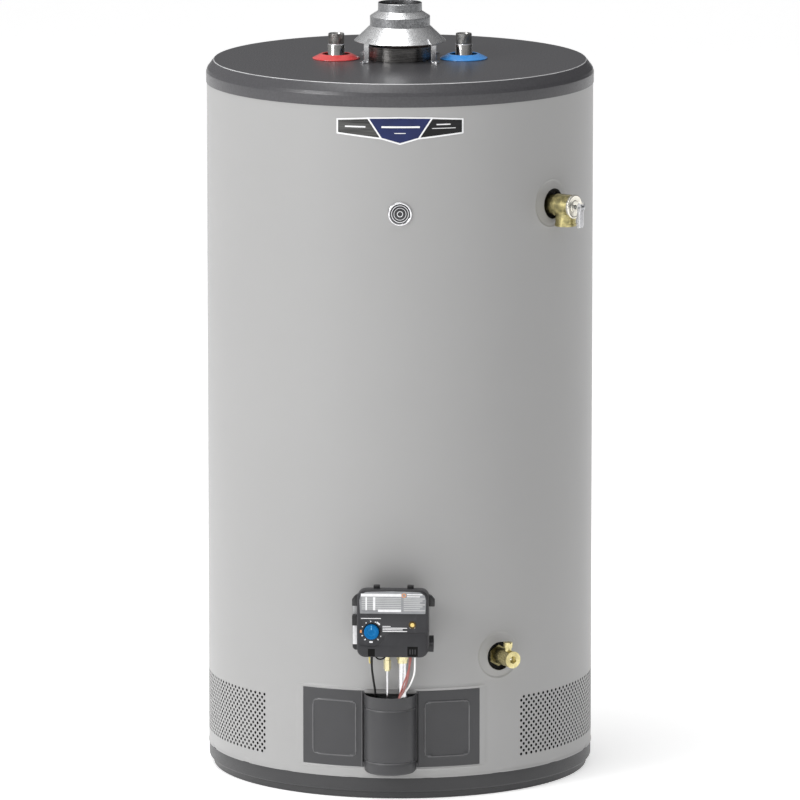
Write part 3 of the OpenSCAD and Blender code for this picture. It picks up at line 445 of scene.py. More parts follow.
def aligned(verts, origin, x_axis):
    """Moves points from a local frame to an origin and an X axis, with Z upward."""
    x = Vector(x_axis).normalized()
    z = Vector((0, 0, 1))
    z = (z - x * z.dot(x)).normalized()
    y = z.cross(x)
    o = Vector(origin)
    return [o + x * v[0] + y * v[1] + z * v[2] for v in verts]


def turned_on_x(profile, segments=64, closed=True, swell=None):
    """As turned, about the local X axis: profile of (r, x)."""
    verts, faces = turned(profile, segments, closed, swell=swell)
    return [(z, x, y) for x, y, z in verts], faces


def prism(outline, y0, y1):
    """Closed prism of an outline of (x, z), from y0 to y1."""
    n = len(outline)
    verts = [(p[0], y0, p[1]) for p in outline] + [(p[0], y1, p[1]) for p in outline]
    faces = [tuple(range(n - 1, -1, -1)), tuple(range(n, 2 * n))]
    faces += [(i, (i + 1) % n, n + (i + 1) % n, n + i) for i in range(n)]
    return verts, faces


def box_mesh(lo, hi):
    return prism([(lo[0], lo[2]), (hi[0], lo[2]), (hi[0], hi[2]), (lo[0], hi[2])], lo[1], hi[1])


def flipped(faces):
    """Faces turned to look the other way."""
    return [tuple(reversed(face)) for face in faces]


def join_parts(*parts):
    """Verts and faces of several parts as one."""
    verts, faces = [], []
    for v, f in parts:
        base = len(verts)
        verts += list(v)
        faces += [tuple(i + base for i in face) for face in f]
    return verts, faces


def rounded_box(cx, cz, w, h, r, n=8):
    """Outline of a rounded rectangle in (x, z)."""
    out = []
    for q, (sx, sz) in enumerate(((1, 1), (-1, 1), (-1, -1), (1, -1))):
        for i in range(n + 1):
            a = 90 * DEG * (q + i / n)
            out.append((cx + sx * (w / 2 - r) + r * math.cos(a), cz + sz * (h / 2 - r) + r * math.sin(a)))
    return out


def loft(rings):
    """Skin over rings of equal length, with both ends closed."""
    n = len(rings[0])
    verts = [v for ring in rings for v in ring]
    faces = []
    for k in range(len(rings) - 1):
        for i in range(n):
            j = (i + 1) % n
            faces.append((k * n + i, k * n + j, (k + 1) * n + j, (k + 1) * n + i))
    faces.append(tuple(range(n - 1, -1, -1)))
    faces.append(tuple(range((len(rings) - 1) * n, len(rings) * n)))
    return verts, faces


def spline(points, steps=6):
    """Catmull-Rom route through points."""
    p = [Vector(q) for q in points]
    out = []
    for i in range(len(p) - 1):
        a, b, c, d = p[max(i - 1, 0)], p[i], p[i + 1], p[min(i + 2, len(p) - 1)]
        for k in range(steps):
            t = k / steps
            out.append((2 * b + (c - a) * t + (2 * a - 5 * b + 4 * c - d) * t ** 2
                        + (3 * b - a - 3 * c + d) * t ** 3) / 2)
    return out + [p[-1]]


def swept(path, radius, sides=12):
    """Round tube along a path, with closed ends."""
    rings = []
    side = None
    for i, p in enumerate(path):
        t = (path[min(i + 1, len(path) - 1)] - path[max(i - 1, 0)]).normalized()
        side = t.orthogonal().normalized() if side is None else (side - t * side.dot(t)).normalized()
        up = t.cross(side)
        rings.append([p + radius * (math.cos(2 * math.pi * k / sides) * side
                                    + math.sin(2 * math.pi * k / sides) * up) for k in range(sides)])
    return loft(rings)


# ---- CAD nodes that stay -----------------------------------------------------------------------

def dress(node, slot_name=None, round_mm=0.4):
    """Gives a CAD node its finish and eased edges; its own mesh stays as packed."""
    obj = frame["nodes"][node]
    slot_name = slot_name or next(s["material_slot"] for s in frame["record"]["subparts"]
                                  if s["node"] == node)
    for i in range(len(obj.material_slots)):
        obj.material_slots[i].material = MAT[slot_name]
    bpy.context.view_layer.objects.active = obj
    obj.select_set(True)
    bpy.ops.mesh.customdata_custom_splitnormals_clear()
    obj.select_set(False)
    obj.data.shade_smooth()
    if round_mm:
        weld = obj.modifiers.new("weld", "WELD")
        weld.merge_threshold = 0.002 * MM
        ease = obj.modifiers.new("ease", "BEVEL")
        ease.width = round_mm * MM
        ease.segments = 2
        ease.limit_method = "ANGLE"
        ease.angle_limit = 40 * DEG
        ease.harden_normals = True
    else:
        obj.data.set_sharp_from_angle(angle=35 * DEG)


# ---- jacket ------------------------------------------------------------------------------------

HOLE_PITCH = 10.9 * MM
HOLE_R = 2.42 * MM
HOLE_ROWS = 9
AIR_Z0 = JACKET_LO.z + 19.25 * MM      # lower edge of the band of air holes
AIR_STEP = HOLE_PITCH / 4
AIR_STEPS = 4 * HOLE_ROWS + 2
AIR_LEFT = range(-138, -41)            # first edges of the columns of air holes, one a degree
AIR_RIGHT = range(41, 138)
FRAME_HALF = 28.4                      # pressed bead around the access door, in degrees
FRAME_Z = (49.4 * MM, 178.5 * MM)
BEAD_HALF = 2.15                       # half width of that bead, in mm
BEAD_HIGH = 1.2 * MM
BEAD = (-BEAD_HALF, -1.1, 0.0, 1.1, BEAD_HALF)   # grid lines across it
DOOR_CUT = 24.0                        # half of the opening behind the door, in degrees
DOOR_CUT_Z = (59, 171)                 # its lower and upper edge, in mm
SHEET = 0.7 * MM


def hole_at(columns, rows, ring, ring_r, hole, hole_r):
    """A hole in the jacket in its pressed ring. Azimuths are in degrees from the door's middle."""
    return dict(columns=columns, rows=rows, ring=ring, ring_r=ring_r, hole=hole, hole_r=hole_r)


RELIEF_AT = RELIEF_AZ - DOOR_TURN
DRAIN_AT = DRAIN_AZ - DOOR_TURN
PROBE_AT = math.degrees(math.asin(middle("thermostat_probe").x / JACKET_R)) - DOOR_TURN
PROBE_Z = middle("thermostat_probe").z / MM
PORTS = (hole_at((45, 61), (897, 977), (RELIEF_AT - 1.3, RELIEF_Z / MM + 3), 37.5,
                 (RELIEF_AT, RELIEF_Z / MM + 1.5), 24),
         hole_at((25, 41), (185, 265), (DRAIN_AT - 0.5, DRAIN_Z / MM + 2), 37,
                 (DRAIN_AT, DRAIN_Z / MM - 0.2), 22.7),
         hole_at((-5, 7), (PROBE_Z - 28, PROBE_Z + 28), (PROBE_AT, PROBE_Z), 24, (PROBE_AT, PROBE_Z), 19))


def on_jacket(az, z, out=0.0):
    a = az * DEG
    return Vector(((JACKET_R + out) * math.sin(a), -(JACKET_R + out) * math.cos(a), z))


def bead_height(az, z):
    """Height of the bead around the door at a point of the jacket."""
    u, v = abs(az) * DEG * JACKET_R, z - sum(FRAME_Z) / 2
    half_u, half_v, r = FRAME_HALF * DEG * JACKET_R, (FRAME_Z[1] - FRAME_Z[0]) / 2, 7 * MM
    du, dv = u - half_u + r, abs(v) - half_v + r
    d = (Vector((max(du, 0), max(dv, 0))).length + min(max(du, dv), 0) - r) / MM
    if abs(d) >= BEAD_HALF:
        return 0.0
    return BEAD_HIGH * math.cos(d / BEAD_HALF * math.pi / 2) ** 2


def jacket_lines():
    """Azimuths and heights of the sheet's grid lines."""
    azs = {float(k) for k in range(-180, 181)}
    per_mm = MM / JACKET_R / DEG
    for side in (-1, 1):
        for d in BEAD:
            azs.add(round(side * (FRAME_HALF + d * per_mm), 4))
    azs = {a for a in azs if not any(0 < abs(a - side * (FRAME_HALF + d * per_mm)) < 0.12
                                     for side in (-1, 1) for d in BEAD)}
    lo = JACKET_LO.z / MM
    zs = [lo, lo + 1.2, lo + 2.4, lo + 6, lo + 10]
    zs += [z / MM + d for z in FRAME_Z for d in BEAD]
    zs += [(AIR_Z0 + AIR_STEP * m) / MM for m in range(AIR_STEPS + 1)]
    zs += [161.5, 166, DOOR_CUT_Z[1]]
    for port in PORTS:
        low, high = port["rows"]
        zs += [low + (high - low) * k / 10 for k in range(11)]
    zs += [400, 520, 640, 760, 840, 1010, 1060, JACKET_HI.z / MM]
    return sorted(azs), sorted({round(z, 4) for z in zs})


def jacket_sheet():
    azs, zs_mm = jacket_lines()
    zs = [z * MM for z in zs_mm]
    ncol = len(azs) - 1
    verts, faces, index = [], [], {}
    notches = (-50, *range(-160, -51, 22), *range(-33, 166, 22))

    def corner(i, j):
        i %= ncol
        if (i, j) not in index:
            out = bead_height(azs[i], zs[j])
            if j < 3:                                   # rolled lower hem, pinched at the crimps
                out += (0.5, 0.75, 0.3)[j] * MM
                if any(abs(azs[i] - n) < 1.1 for n in notches):
                    out -= 1.5 * MM
            index[i, j] = len(verts)
            verts.append(on_jacket(azs[i], zs[j], out))
        return index[i, j]

    def column(az):
        return min(range(len(azs)), key=lambda i: abs(azs[i] - az))

    def row(z):
        return min(range(len(zs)), key=lambda j: abs(zs[j] - z))

    blocked = set()
    for port in PORTS:
        (i0, i1), (j0, j1) = [column(az) for az in port["columns"]], [row(z * MM) for z in port["rows"]]
        blocked |= {(i, j) for i in range(i0, i1) for j in range(j0, j1)}
        rim = [(i, j0) for i in range(i0, i1)] + [(i1, j) for j in range(j0, j1)]
        rim += [(i, j1) for i in range(i1, i0, -1)] + [(i0, j) for j in range(j1, j0, -1)]
        az, z = port["ring"]
        angles = [math.atan2(zs[j] - z * MM, (azs[i] - az) * DEG * JACKET_R) for i, j in rim]
        rings = [[corner(i, j) for i, j in rim]]
        ring, hole = port["ring_r"], port["hole_r"]
        steps = [(port["ring"], ring + d, out) for d, out in ((2.2, 0), (1.2, 0.2), (0.2, 0.15), (-0.9, -0.4),
                                                              (-1.9, -0.75), (-3.2, -0.85))]
        steps += [(port["hole"], hole + d, out) for d, out in ((1.6, -0.8), (0.6, -0.7), (0, -1.05))]
        for (az, z), radius, out in steps:
            rings.append(list(range(len(verts), len(verts) + len(rim))))
            verts += [on_jacket(az + radius * MM * math.cos(a) / JACKET_R / DEG,
                                (z + radius * math.sin(a)) * MM, out * MM) for a in angles]
        for a, b in zip(rings, rings[1:]):
            for k in range(len(rim)):
                m = (k + 1) % len(rim)
                faces.append((a[k], a[m], b[m], b[k]))
    first = row(AIR_Z0)
    for az in (*AIR_LEFT, *AIR_RIGHT):
        i = column(az)
        base = first + (2 if az % 2 == 0 else 0)
        blocked |= {(i, j) for j in range(base, base + 4 * HOLE_ROWS)}
        for k in range(HOLE_ROWS):
            j = base + 4 * k
            outer = [corner(i + 1, j + 2), corner(i + 1, j + 3), corner(i + 1, j + 4), corner(i, j + 4),
                     corner(i, j + 3), corner(i, j + 2), corner(i, j + 1), corner(i, j),
                     corner(i + 1, j), corner(i + 1, j + 1)]
            inner = list(range(len(verts), len(verts) + 10))
            for m in range(10):
                a = 36 * m * DEG
                verts.append(on_jacket(az + 0.5 + HOLE_R * math.cos(a) / JACKET_R / DEG,
                                       zs[j + 2] + HOLE_R * math.sin(a)))
            for m in range(10):
                q = (m + 1) % 10
                faces.append((outer[m], outer[q], inner[q], inner[m]))
    door_rows = [row(z * MM) for z in DOOR_CUT_Z]
    for i in range(ncol):
        mid = (azs[i] + azs[i + 1]) / 2
        for j in range(len(zs) - 1):
            in_door = abs(mid) < DOOR_CUT and door_rows[0] <= j < door_rows[1]
            if (i, j) not in blocked and not in_door:
                faces.append((corner(i, j), corner(i + 1, j), corner(i + 1, j + 1), corner(i, j + 1)))
    turn = Matrix.Rotation(DOOR_TURN * DEG, 3, "Z")
    sheet = piece("jacket_sheet", [turn @ v for v in verts], faces, [MAT["jacket_paint"], PAINTED_SHADE_BLACK],
                  slot="jacket_paint", stands_for="jacket", sharp=50)
    # Painted shade: the sheet's inner side and the walls of all its holes take the near-black shade finish.
    mod = sheet.modifiers.new("wall", "SOLIDIFY")
    mod.thickness = SHEET
    mod.offset = -1
    mod.material_offset = 1
    mod.material_offset_rim = 1
    settle(sheet, 50)


def jacket_shade_liner():
    """Painted shade: a black sheet behind the air holes and black wells around the two side valves, where only
    shade should show.
    """
    parts = []
    inner, outer = JACKET_R - 5 * MM, JACKET_R - 4.2 * MM
    lo, hi = JACKET_LO.z + 12 * MM, AIR_Z0 + 112 * MM
    for first, last in ((AIR_LEFT[0] - 2, AIR_LEFT[-1] + 3), (AIR_RIGHT[0] - 2, AIR_RIGHT[-1] + 3)):
        parts.append(turned([(inner, lo), (outer, lo), (outer, hi), (inner, hi)], 48,
                            start=first - 90 + DOOR_TURN, sweep=last - first))
    for az, z, root in ((RELIEF_AZ, RELIEF_Z, 15.4), (DRAIN_AZ, DRAIN_Z, 12.6)):
        shade_well = rounded([(27.5, -1.12), (27.5, -1.27), (23.85, -1.27), (23.85, -9), (root, -9.6), (root, -8.6),
                        (23.3, -8.2), (23.3, -1.12)], 0.1, 2)
        v, f = turned_on_x([(r * MM, x * MM) for r, x in shade_well], 64)
        v = [(x - y * y / 2 / JACKET_R, y, h) for x, y, h in v]    # its rim follows the curved jacket
        parts.append((aligned(v, *fitting_frame(az, z)), f))
    verts, faces = join_parts(*parts)
    piece("jacket_shade_liner", verts, faces, PAINTED_SHADE_BLACK, slot="gasket")


def jacket_seam():
    """Lapped seam down the back, with its flat rivets."""
    half = 2.2
    azs = [180 - half, 180 - half + 0.25, 180 - 1, 180, 180 + 1, 180 + half - 0.25, 180 + half]
    outs = [0.05, 0.6, 0.7, 0.7, 0.7, 0.6, 0.05]
    z0, z1 = JACKET_LO.z + 4 * MM, LID_RIM - 1.5 * MM
    verts = [on_jacket(a, z, o * MM) for z in (z0, z1) for a, o in zip(azs, outs)]
    n = len(azs)
    parts = [(verts, [(i, i + 1, n + i + 1, n + i) for i in range(n - 1)])]
    profile = rounded([(0, 0.3 * MM), (2.6 * MM, 0.3 * MM), (3 * MM, 0)], 0.3 * MM, 3, closed=False)
    for k in range(9):
        v, f = turned_on_x(profile, 20, closed=False)
        spot = on_jacket(180, z0 + 50 * MM + k * (z1 - z0 - 100 * MM) / 8, 0.68 * MM)
        parts.append((aligned(v, spot, (0, 1, 0)), f))
    verts, faces = join_parts(*parts)
    piece("jacket_seam", verts, faces, MAT["jacket_paint"], slot="jacket_paint")


# ---- lid, base pan, flue -----------------------------------------------------------------------

def lid_shell():
    t = 0.9 * MM
    top = LID_TOP
    flat = LID_R - 12 * MM
    hole = FLUE_R + 1.5 * MM
    rim = LID_RIM
    knee = rim + 20 * MM
    outer = [(hole, top), (flat, top), (LID_R - 2 * MM, knee + 2.4 * MM), (LID_R, knee - 3 * MM),
             (LID_R, rim)]
    inner = [(LID_R - t, rim), (LID_R - t, knee - 3.4 * MM), (LID_R - t - 2 * MM, knee + 1.6 * MM),
             (flat - 0.5 * MM, top - t), (hole, top - t)]
    radii = [0.3 * MM, 2.2 * MM, 2.2 * MM, 3 * MM, 0.4 * MM, 0.4 * MM, 2 * MM, 2 * MM, 1 * MM, 0.3 * MM]
    verts, faces = turned(rounded(outer + inner, radii, 6), 240)
    lid = piece("lid_shell", verts, faces, [MAT["lid_paint"], MAT["lid_painted_highlight"]], slot="lid_paint",
                stands_for="lid", sharp=40)
    cutters = []
    for spot in (HOT, COLD):
        v, f = turned([(0, -5 * MM), (20 * MM, -5 * MM), (20 * MM, 5 * MM), (0, 5 * MM)], 48,
                      closed=False, centre=(spot.x, spot.y), z0=top)
        cutters.append(cutter("hole", v, f))
    cut(lid, *cutters)
    # Painted highlight: the faces of the rounded corner between the flat top and the shoulder take a light grey
    # finish.
    for face in lid.data.polygons:
        spot = face.center
        edge_highlight = math.hypot(spot.x, spot.y) > flat - 2 * MM and spot.z > top - 1.3 * MM
        if edge_highlight and 0.62 < face.normal.z < 0.99:
            face.material_index = 1


def base_shell():
    r1, r0, wall = JACKET_R - 0.5 * MM, JACKET_R - 7.5 * MM, 1.3 * MM
    hi = JACKET_LO.z - 0.2 * MM
    tier = 12 * MM
    outline = [(r0 - 14 * MM, 0), (r0, 0), (r0, tier - 0.4 * MM), (r1, tier - 0.2 * MM), (r1, hi),
               (r1 - 0.9 * MM, hi), (r1 - 0.9 * MM, hi + 9.8 * MM), (r1 - 1.9 * MM, hi + 9.8 * MM),
               (r1 - 1.9 * MM, tier + 1.4 * MM), (r0 - wall, tier + 1 * MM), (r0 - wall, wall),
               (r0 - 14 * MM, wall)]
    radii = [0, 1 * MM, 1.6 * MM, 7 * MM, 0.5 * MM, 0.2 * MM, 0.3 * MM, 0.3 * MM, 5.4 * MM, 1 * MM,
             2 * MM, 0]
    ring = turned(rounded(outline, radii, 6), 240)
    floor = turned([(0, 0.1 * MM), (r0 - 70 * MM, 0.1 * MM), (r0 - 68 * MM, 0.9 * MM),
                    (r0 - 50 * MM, 0.9 * MM), (r0 - 48 * MM, 0.1 * MM), (r0 - 13.5 * MM, 0.1 * MM),
                    (r0 - 13.5 * MM, 1.3 * MM), (0, 1.3 * MM)], 120)
    verts, faces = join_parts(ring, floor)
    piece("base_shell", verts, faces, MAT["base_paint"], slot="base_paint", stands_for="base_pan",
          sharp=40)


def draft_hood():
    t = 0.9 * MM
    r1, r3 = MOUNTS["vent_collar"]["dims"]["r_mm"] * MM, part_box("draft_hood")[1].x
    r2 = 47.9 * MM
    z = {k: LID_TOP + v * MM for k, v in dict(top=90.4, neck=77, step=68.7, band=53.5, skirt=29.5).items()}
    lip = 0.45 * MM
    outer = [(r1 - lip, z["top"]), (r1, z["top"] - lip), (r1, z["neck"]), (r2, z["step"]),
             (r2, z["band"]), (r3 - 0.2 * MM, z["skirt"] + 0.4 * MM), (r3, z["skirt"] - 0.1 * MM)]
    inner = [(r3 - 0.9 * MM, z["skirt"] - 0.4 * MM), (r2 - t, z["band"] - 0.6 * MM),
             (r2 - t, z["step"] - 0.5 * MM), (r1 - t, z["neck"] - 0.5 * MM), (r1 - t, z["top"] - lip)]
    radii = [lip / 3, lip / 2, 1.8 * MM, 1.6 * MM, 1.8 * MM, 0.4 * MM, 0.3 * MM, 0.3 * MM, 1.5 * MM,
             1.5 * MM, 1.5 * MM, lip / 3]

    def dents(a, r, zz):
        """Small unevenness of spun sheet."""
        p = Vector((math.cos(a) * 2.1, math.sin(a) * 2.1, zz * 40))
        return 0.22 * MM * noise.noise(p)

    verts, faces = turned(rounded(outer + inner, radii, 5), 144, swell=dents)
    hood = piece("hood_shell", verts, faces, [MAT["galvanised"], MAT["galvanised_painted_shade"]], slot="galvanised",
                 stands_for="draft_hood", sharp=40)
    # Painted shade: the upright bands take a darker copy of the galvanised finish, standing in for the dim
    # surroundings they reflect.
    for face in hood.data.polygons:
        face.material_index = int(abs(face.normal.z) < 0.3)


def hood_legs():
    """Bent straps from the skirt to the lid, each with a rounded foot."""
    t, half = 1.1 * MM, 5.2 * MM
    line = [(66.6, 37.2), (74.6, 29.6), (75.5, 27.6), (75.5, 2.6), (76.4, 0.8), (86.5, 0.8)]
    line = [(r * MM, z * MM) for r, z in line]
    path = rounded(line, [0, 1.5 * MM, 1 * MM, 1.4 * MM, 1 * MM, 0], 4, closed=False)
    for k in range(4):
        turn = (TOP_TURN - 45 + 90 * k) * DEG
        out = Vector((math.cos(turn), math.sin(turn), 0))
        side = Vector((-out.y, out.x, 0))
        rings = []
        for i, p in enumerate(path):
            d = (path[min(i + 1, len(path) - 1)] - path[max(i - 1, 0)]).normalized()
            normal = Vector((-d.y, d.x)) * (t / 2)
            ends = min(i, len(path) - 1 - i)
            w = half * (0.72 if ends == 0 else 0.93 if ends == 1 else 1)
            section = [(-w, 1), (-w * 0.9, 1.0), (w * 0.9, 1.0), (w, 1), (w, -1), (-w, -1)]
            ring = []
            for s, n in section:
                q = p + normal * n
                ring.append(out * q.x + side * s + Vector((0, 0, LID_TOP + q.y)))
            rings.append(ring)
        verts, faces = loft(rings)
        leg = piece(f"hood_leg_{k}", verts, faces, MAT["leg_steel"], slot="galvanised",
                    stands_for="hood_legs", sharp=30)
        soften(leg, 0.25 * MM)


def flue_ring():
    """Seam and lip at the top of the flue tube, inside the hood."""
    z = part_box("flue_tube")[1].z
    outline = rounded([(FLUE_R - 2.4 * MM, z - 2 * MM), (FLUE_R - 2.4 * MM, z + 0.02 * MM),
                       (FLUE_R + 0.35 * MM, z + 0.02 * MM), (FLUE_R + 0.35 * MM, z - 2 * MM)],
                      0.3 * MM, 3)
    verts, faces = turned(outline, 120)
    piece("flue_lip", verts, faces, MAT["flue_steel"], slot="flue_steel")


# ---- water fittings ----------------------------------------------------------------------------

def pipe_nipple(name, spot, node):
    """Nipple with a real helical thread, a chamfered mouth and its bore."""
    pitch, depth = 1.814 * MM, 0.95 * MM
    thread_r = MOUNTS["hot_outlet"]["dims"]["r_mm"] * MM
    barrel_r = thread_r + 0.15 * MM
    lo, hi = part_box(node)
    run = MOUNTS["hot_outlet"]["dims"]["length_mm"] * MM
    start = hi.z - run
    bore = 10.4 * MM
    steps = int(run / (pitch / 6))
    profile = [(bore, lo.z), (barrel_r, lo.z), (barrel_r, start - 1.2 * MM), (barrel_r - 0.9 * MM, start)]
    profile += [(thread_r, start + run * k / steps) for k in range(1, steps)]
    profile += [(thread_r - 1.3 * MM, hi.z), (bore + 0.6 * MM, hi.z), (bore, hi.z - 0.8 * MM)]

    def thread(a, r, z):
        if abs(r - thread_r) > 1e-6 or z <= start:
            return 0.0
        phase = ((z - start) / pitch - a / (2 * math.pi)) % 1
        fade = min(1, (hi.z - z) / (2.5 * MM), (z - start) / (1.5 * MM))
        return -depth * abs(2 * phase - 1) * fade - 0.9 * MM * (1 - fade) * 0.8

    verts, faces = turned(profile, 64, centre=(spot.x, spot.y), swell=thread)
    kinds = [2 if i == 2 else 1 if 3 <= i < len(profile) - 3 else 0 for i in range(len(profile))]
    piece(name, verts, faces, [MAT["nipple_steel"], MAT["nipple_thread"], SILVER], slot="nipple_steel",
          stands_for=node, sharp=45, face_mats=kinds * 64)


def escutcheon(name, spot, node, slot_name):
    z = LID_TOP
    outline = [(38, 0.15), (38, 1.5), (35.5, 2.9), (25.2, 7.9), (21.9, 8), (21.8, 6.2), (23.4, 6.2),
               (34.2, 1.3), (34.6, 0.15)]
    radii = [0.3, 0.6, 1.4, 1.8, 0.5, 0.3, 1.2, 0.8, 0.3]
    verts, faces = turned(rounded([(r * MM, h * MM) for r, h in outline], [r * MM for r in radii], 5),
                          96, centre=(spot.x, spot.y), z0=z)
    piece(name, verts, faces, MAT[slot_name], slot=slot_name, stands_for=node, sharp=40)


# ---- side fittings' frame and relief valve cap -------------------------------------------------

def fitting_frame(az, z):
    """Origin on the jacket and outward axis of a side fitting."""
    return on_jacket(az, z), Vector((math.sin(az * DEG), -math.cos(az * DEG), 0))


def relief_cap():
    """Knurled cap of the relief valve, with a sunk ring on its face."""
    origin, out = fitting_frame(RELIEF_AZ, RELIEF_Z)
    start = RELIEF_PIN - 16.5 * MM
    crown = rounded([(3.2, 5.4), (9.4, 5.4), (10.2, 4.6), (15.6, 4.6), (16.4, 5.3), (17.6, 5.3), (19, 3.9),
                     (19, 0.5), (18.3, 0), (3.2, 0)], [0.2, 0.4, 0.4, 0.4, 0.4, 0.4, 0.5, 0.3, 0.3, 0.2], 3)
    ribs = 36

    def knurl(a, r, x):
        return -0.35 * MM * (0.5 + 0.5 * math.cos(ribs * a)) if r > 18.5 * MM else 0.0

    v, f = turned_on_x([(p[0] * MM, start + p[1] * MM) for p in crown], 144, swell=knurl)
    piece("relief_cap_crown", aligned(v, origin, out), f, MAT["cap_metal"], slot="cap_metal",
          stands_for="relief_cap", sharp=45)


# ---- gas control -------------------------------------------------------------------------------

COVER_W, COVER_H = 112 * MM, 107 * MM
COVER_X = middle("left_connector").x + 33.1 * MM
COVER_Z = 300 * MM
FACE_Z = PROBE_Z * MM                  # the printed marks are set out from the probe's height
COVER_TOP = COVER_Z + COVER_H / 2
KNOB_GAP = (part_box("control_knob")[1].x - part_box("control_knob")[0].x) / 2 + 0.8 * MM


def ledge_line():
    """The ledge on the cover's face, from its right edge to the left, in (x, z)."""
    x, z = COVER_X, FACE_Z
    left, right = x - COVER_W / 2, x + COVER_W / 2
    knots = [(right - 3 * MM, z - 17 * MM), (x + 14 * MM, z - 17 * MM), (x - 4 * MM, z - 17 * MM),
             (x - 9.5 * MM, z - 20 * MM), (x - 14.5 * MM, z - 28 * MM), (x - 21 * MM, z - 35.5 * MM),
             (x - 32 * MM, z - 38 * MM), (x - 43 * MM, z - 37 * MM), (left + 3 * MM, z - 35.5 * MM)]
    return [(p.x, p.y) for p in spline([(a, b, 0) for a, b in knots], 8)]


def cover_face():
    """The cover's front plane."""
    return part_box("right_connector")[0].y + 1.2 * MM


def face_hole(spot, radius, sides):
    """Cutter for a round hole through the cover's face."""
    v, f = turned_on_x([(0, -3 * MM), (radius, -3 * MM), (radius, 5 * MM), (0, 5 * MM)], sides, False)
    return cutter("hole", aligned(v, (spot.x, cover_face(), spot.z), (0, 1, 0)), f)


def connector_slots():
    """Cutters for the openings round the two wire connectors."""
    gap = 0.3 * MM
    slots = []
    for node in ("left_connector", "right_connector"):
        lo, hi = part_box(node)
        v, f = box_mesh((lo.x - gap, lo.y - 5 * MM, lo.z - 9 * MM), (hi.x + gap, hi.y + gap, hi.z + gap))
        slots.append(cutter("slot", v, f))
    return slots


def valve_cover():
    front = cover_face()
    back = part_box("valve_body")[0].y - 0.4 * MM
    wall, edge = 2.5 * MM, 3.2 * MM
    rings = []
    for k in range(7):
        a = 90 * DEG * k / 6
        inset, y = edge * (1 - math.cos(a)), front + edge * (1 - math.sin(a))
        rings.append((inset, y))
    rings = [(0, back)] + rings[:-1] + [(edge, front), (edge + 1.2 * MM, front)]

    def sloped(z, y):
        """The cover's top falls towards its back."""
        return z - max(0, z - COVER_Z) / (COVER_H / 2) * 3.5 * MM * (y - front) / (back - front)

    outer = [[(px, y, sloped(pz, y)) for px, pz in rounded_box(COVER_X, COVER_Z, COVER_W - 2 * i,
                                                               COVER_H - 2 * i, 13 * MM - i)]
             for i, y in rings]
    inner = [[(px, y, sloped(pz, y)) for px, pz in rounded_box(COVER_X, COVER_Z, COVER_W - 2 * wall,
                                                               COVER_H - 2 * wall, 11 * MM)]
             for y in (front + wall, back)]
    verts, faces = loft([*inner, *outer])
    cover = piece("control_cover", verts, faces, MAT["cover_plastic"], slot="cover_plastic",
                  stands_for="valve_cover", sharp=40)
    cut(cover, face_hole(KNOB, KNOB_GAP, 64), face_hole(LIGHT, 3.5 * MM, 32), *connector_slots())


def cover_panels():
    """Raised lower part of the face, knob collar, lamp bezel, hooks and ears."""
    front = cover_face()
    line = ledge_line()
    inset = 2.6 * MM
    rim = rounded_box(COVER_X, COVER_Z, COVER_W - 2 * inset, COVER_H - 2 * inset, 11 * MM, 6)
    lower = [p for p in rim if p[1] < COVER_Z - 30 * MM]
    lower.sort(key=lambda p: math.atan2(p[0] - COVER_X, -(p[1] - COVER_Z)))
    outline = line + lower
    v, f = prism(outline, front - 1.1 * MM, front + 0.6 * MM)
    panel = piece("control_lower_face", v, flipped(f), MAT["cover_plastic"],
                  slot="cover_plastic")
    cut(panel, *connector_slots())
    soften(panel, 0.35 * MM)
    # Painted shadow: a thin black line laid along the step of the ledge.
    seam = swept([Vector((px, front + 0.1 * MM, pz)) for px, pz in line], 0.55 * MM, 8)
    piece("control_ledge_painted_shadow", *seam, MAT["black_plastic"], slot="black_plastic")
    gap = KNOB_GAP / MM
    collar = rounded([(gap, 0.4), (gap, -1.1), (gap + 1.6, -1.1), (gap + 2.6, 0.4)], [0.2, 0.4, 0.7, 0.2], 4)
    v, f = turned_on_x([(r * MM, x * MM) for r, x in collar], 72)
    piece("knob_collar", aligned(v, (KNOB.x, front, KNOB.z), (0, 1, 0)), f, MAT["black_plastic"],
          slot="black_plastic")
    bezel = rounded([(3.4, 0.6), (3.4, -0.5), (4.4, -1.0), (5.8, -0.8), (6, 0.6)],
                    [0.1, 0.3, 0.4, 0.5, 0.1], 4)
    v, f = turned_on_x([(r * MM, x * MM) for r, x in bezel], 48)
    piece("lamp_bezel", aligned(v, (LIGHT.x, front, LIGHT.z), (0, 1, 0)), f, GOLD_TRIM,
          slot="amber_lens")
    y0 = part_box("valve_body")[0].y - 12 * MM
    half, lug = COVER_W / 2, []
    for s in (-1, 1):
        ear = rounded([(s * (half - 2 * MM), 40 * MM), (s * (half + 4 * MM), 37 * MM),
                       (s * (half + 9 * MM), 31 * MM), (s * (half + 9 * MM), 20.5 * MM),
                       (s * (half - 2 * MM), 20.5 * MM)], [0, 4 * MM, 3 * MM, 0.8 * MM, 0], 4)
        ear = [(COVER_X + p[0], FACE_Z + p[1]) for p in (ear if s > 0 else reversed(ear))]
        lug.append(prism(ear, y0, y0 + 10 * MM))
    left = COVER_X - half
    lug.append(box_mesh((left - 9 * MM, y0, FACE_Z - 11 * MM), (left + 2 * MM, y0 + 10 * MM,
                                                                 FACE_Z + 5 * MM)))
    for x in (-26.1, 27):
        lug.append(box_mesh((COVER_X + (x - 5) * MM, y0 - 3 * MM, COVER_TOP - 5 * MM),
                            (COVER_X + (x + 5) * MM, y0 + 8 * MM, COVER_TOP + 2.4 * MM)))
    v, f = join_parts(*lug)
    ears = piece("cover_catches", v, f, MAT["black_plastic"], slot="cover_plastic")
    soften(ears, 0.8 * MM, 3)


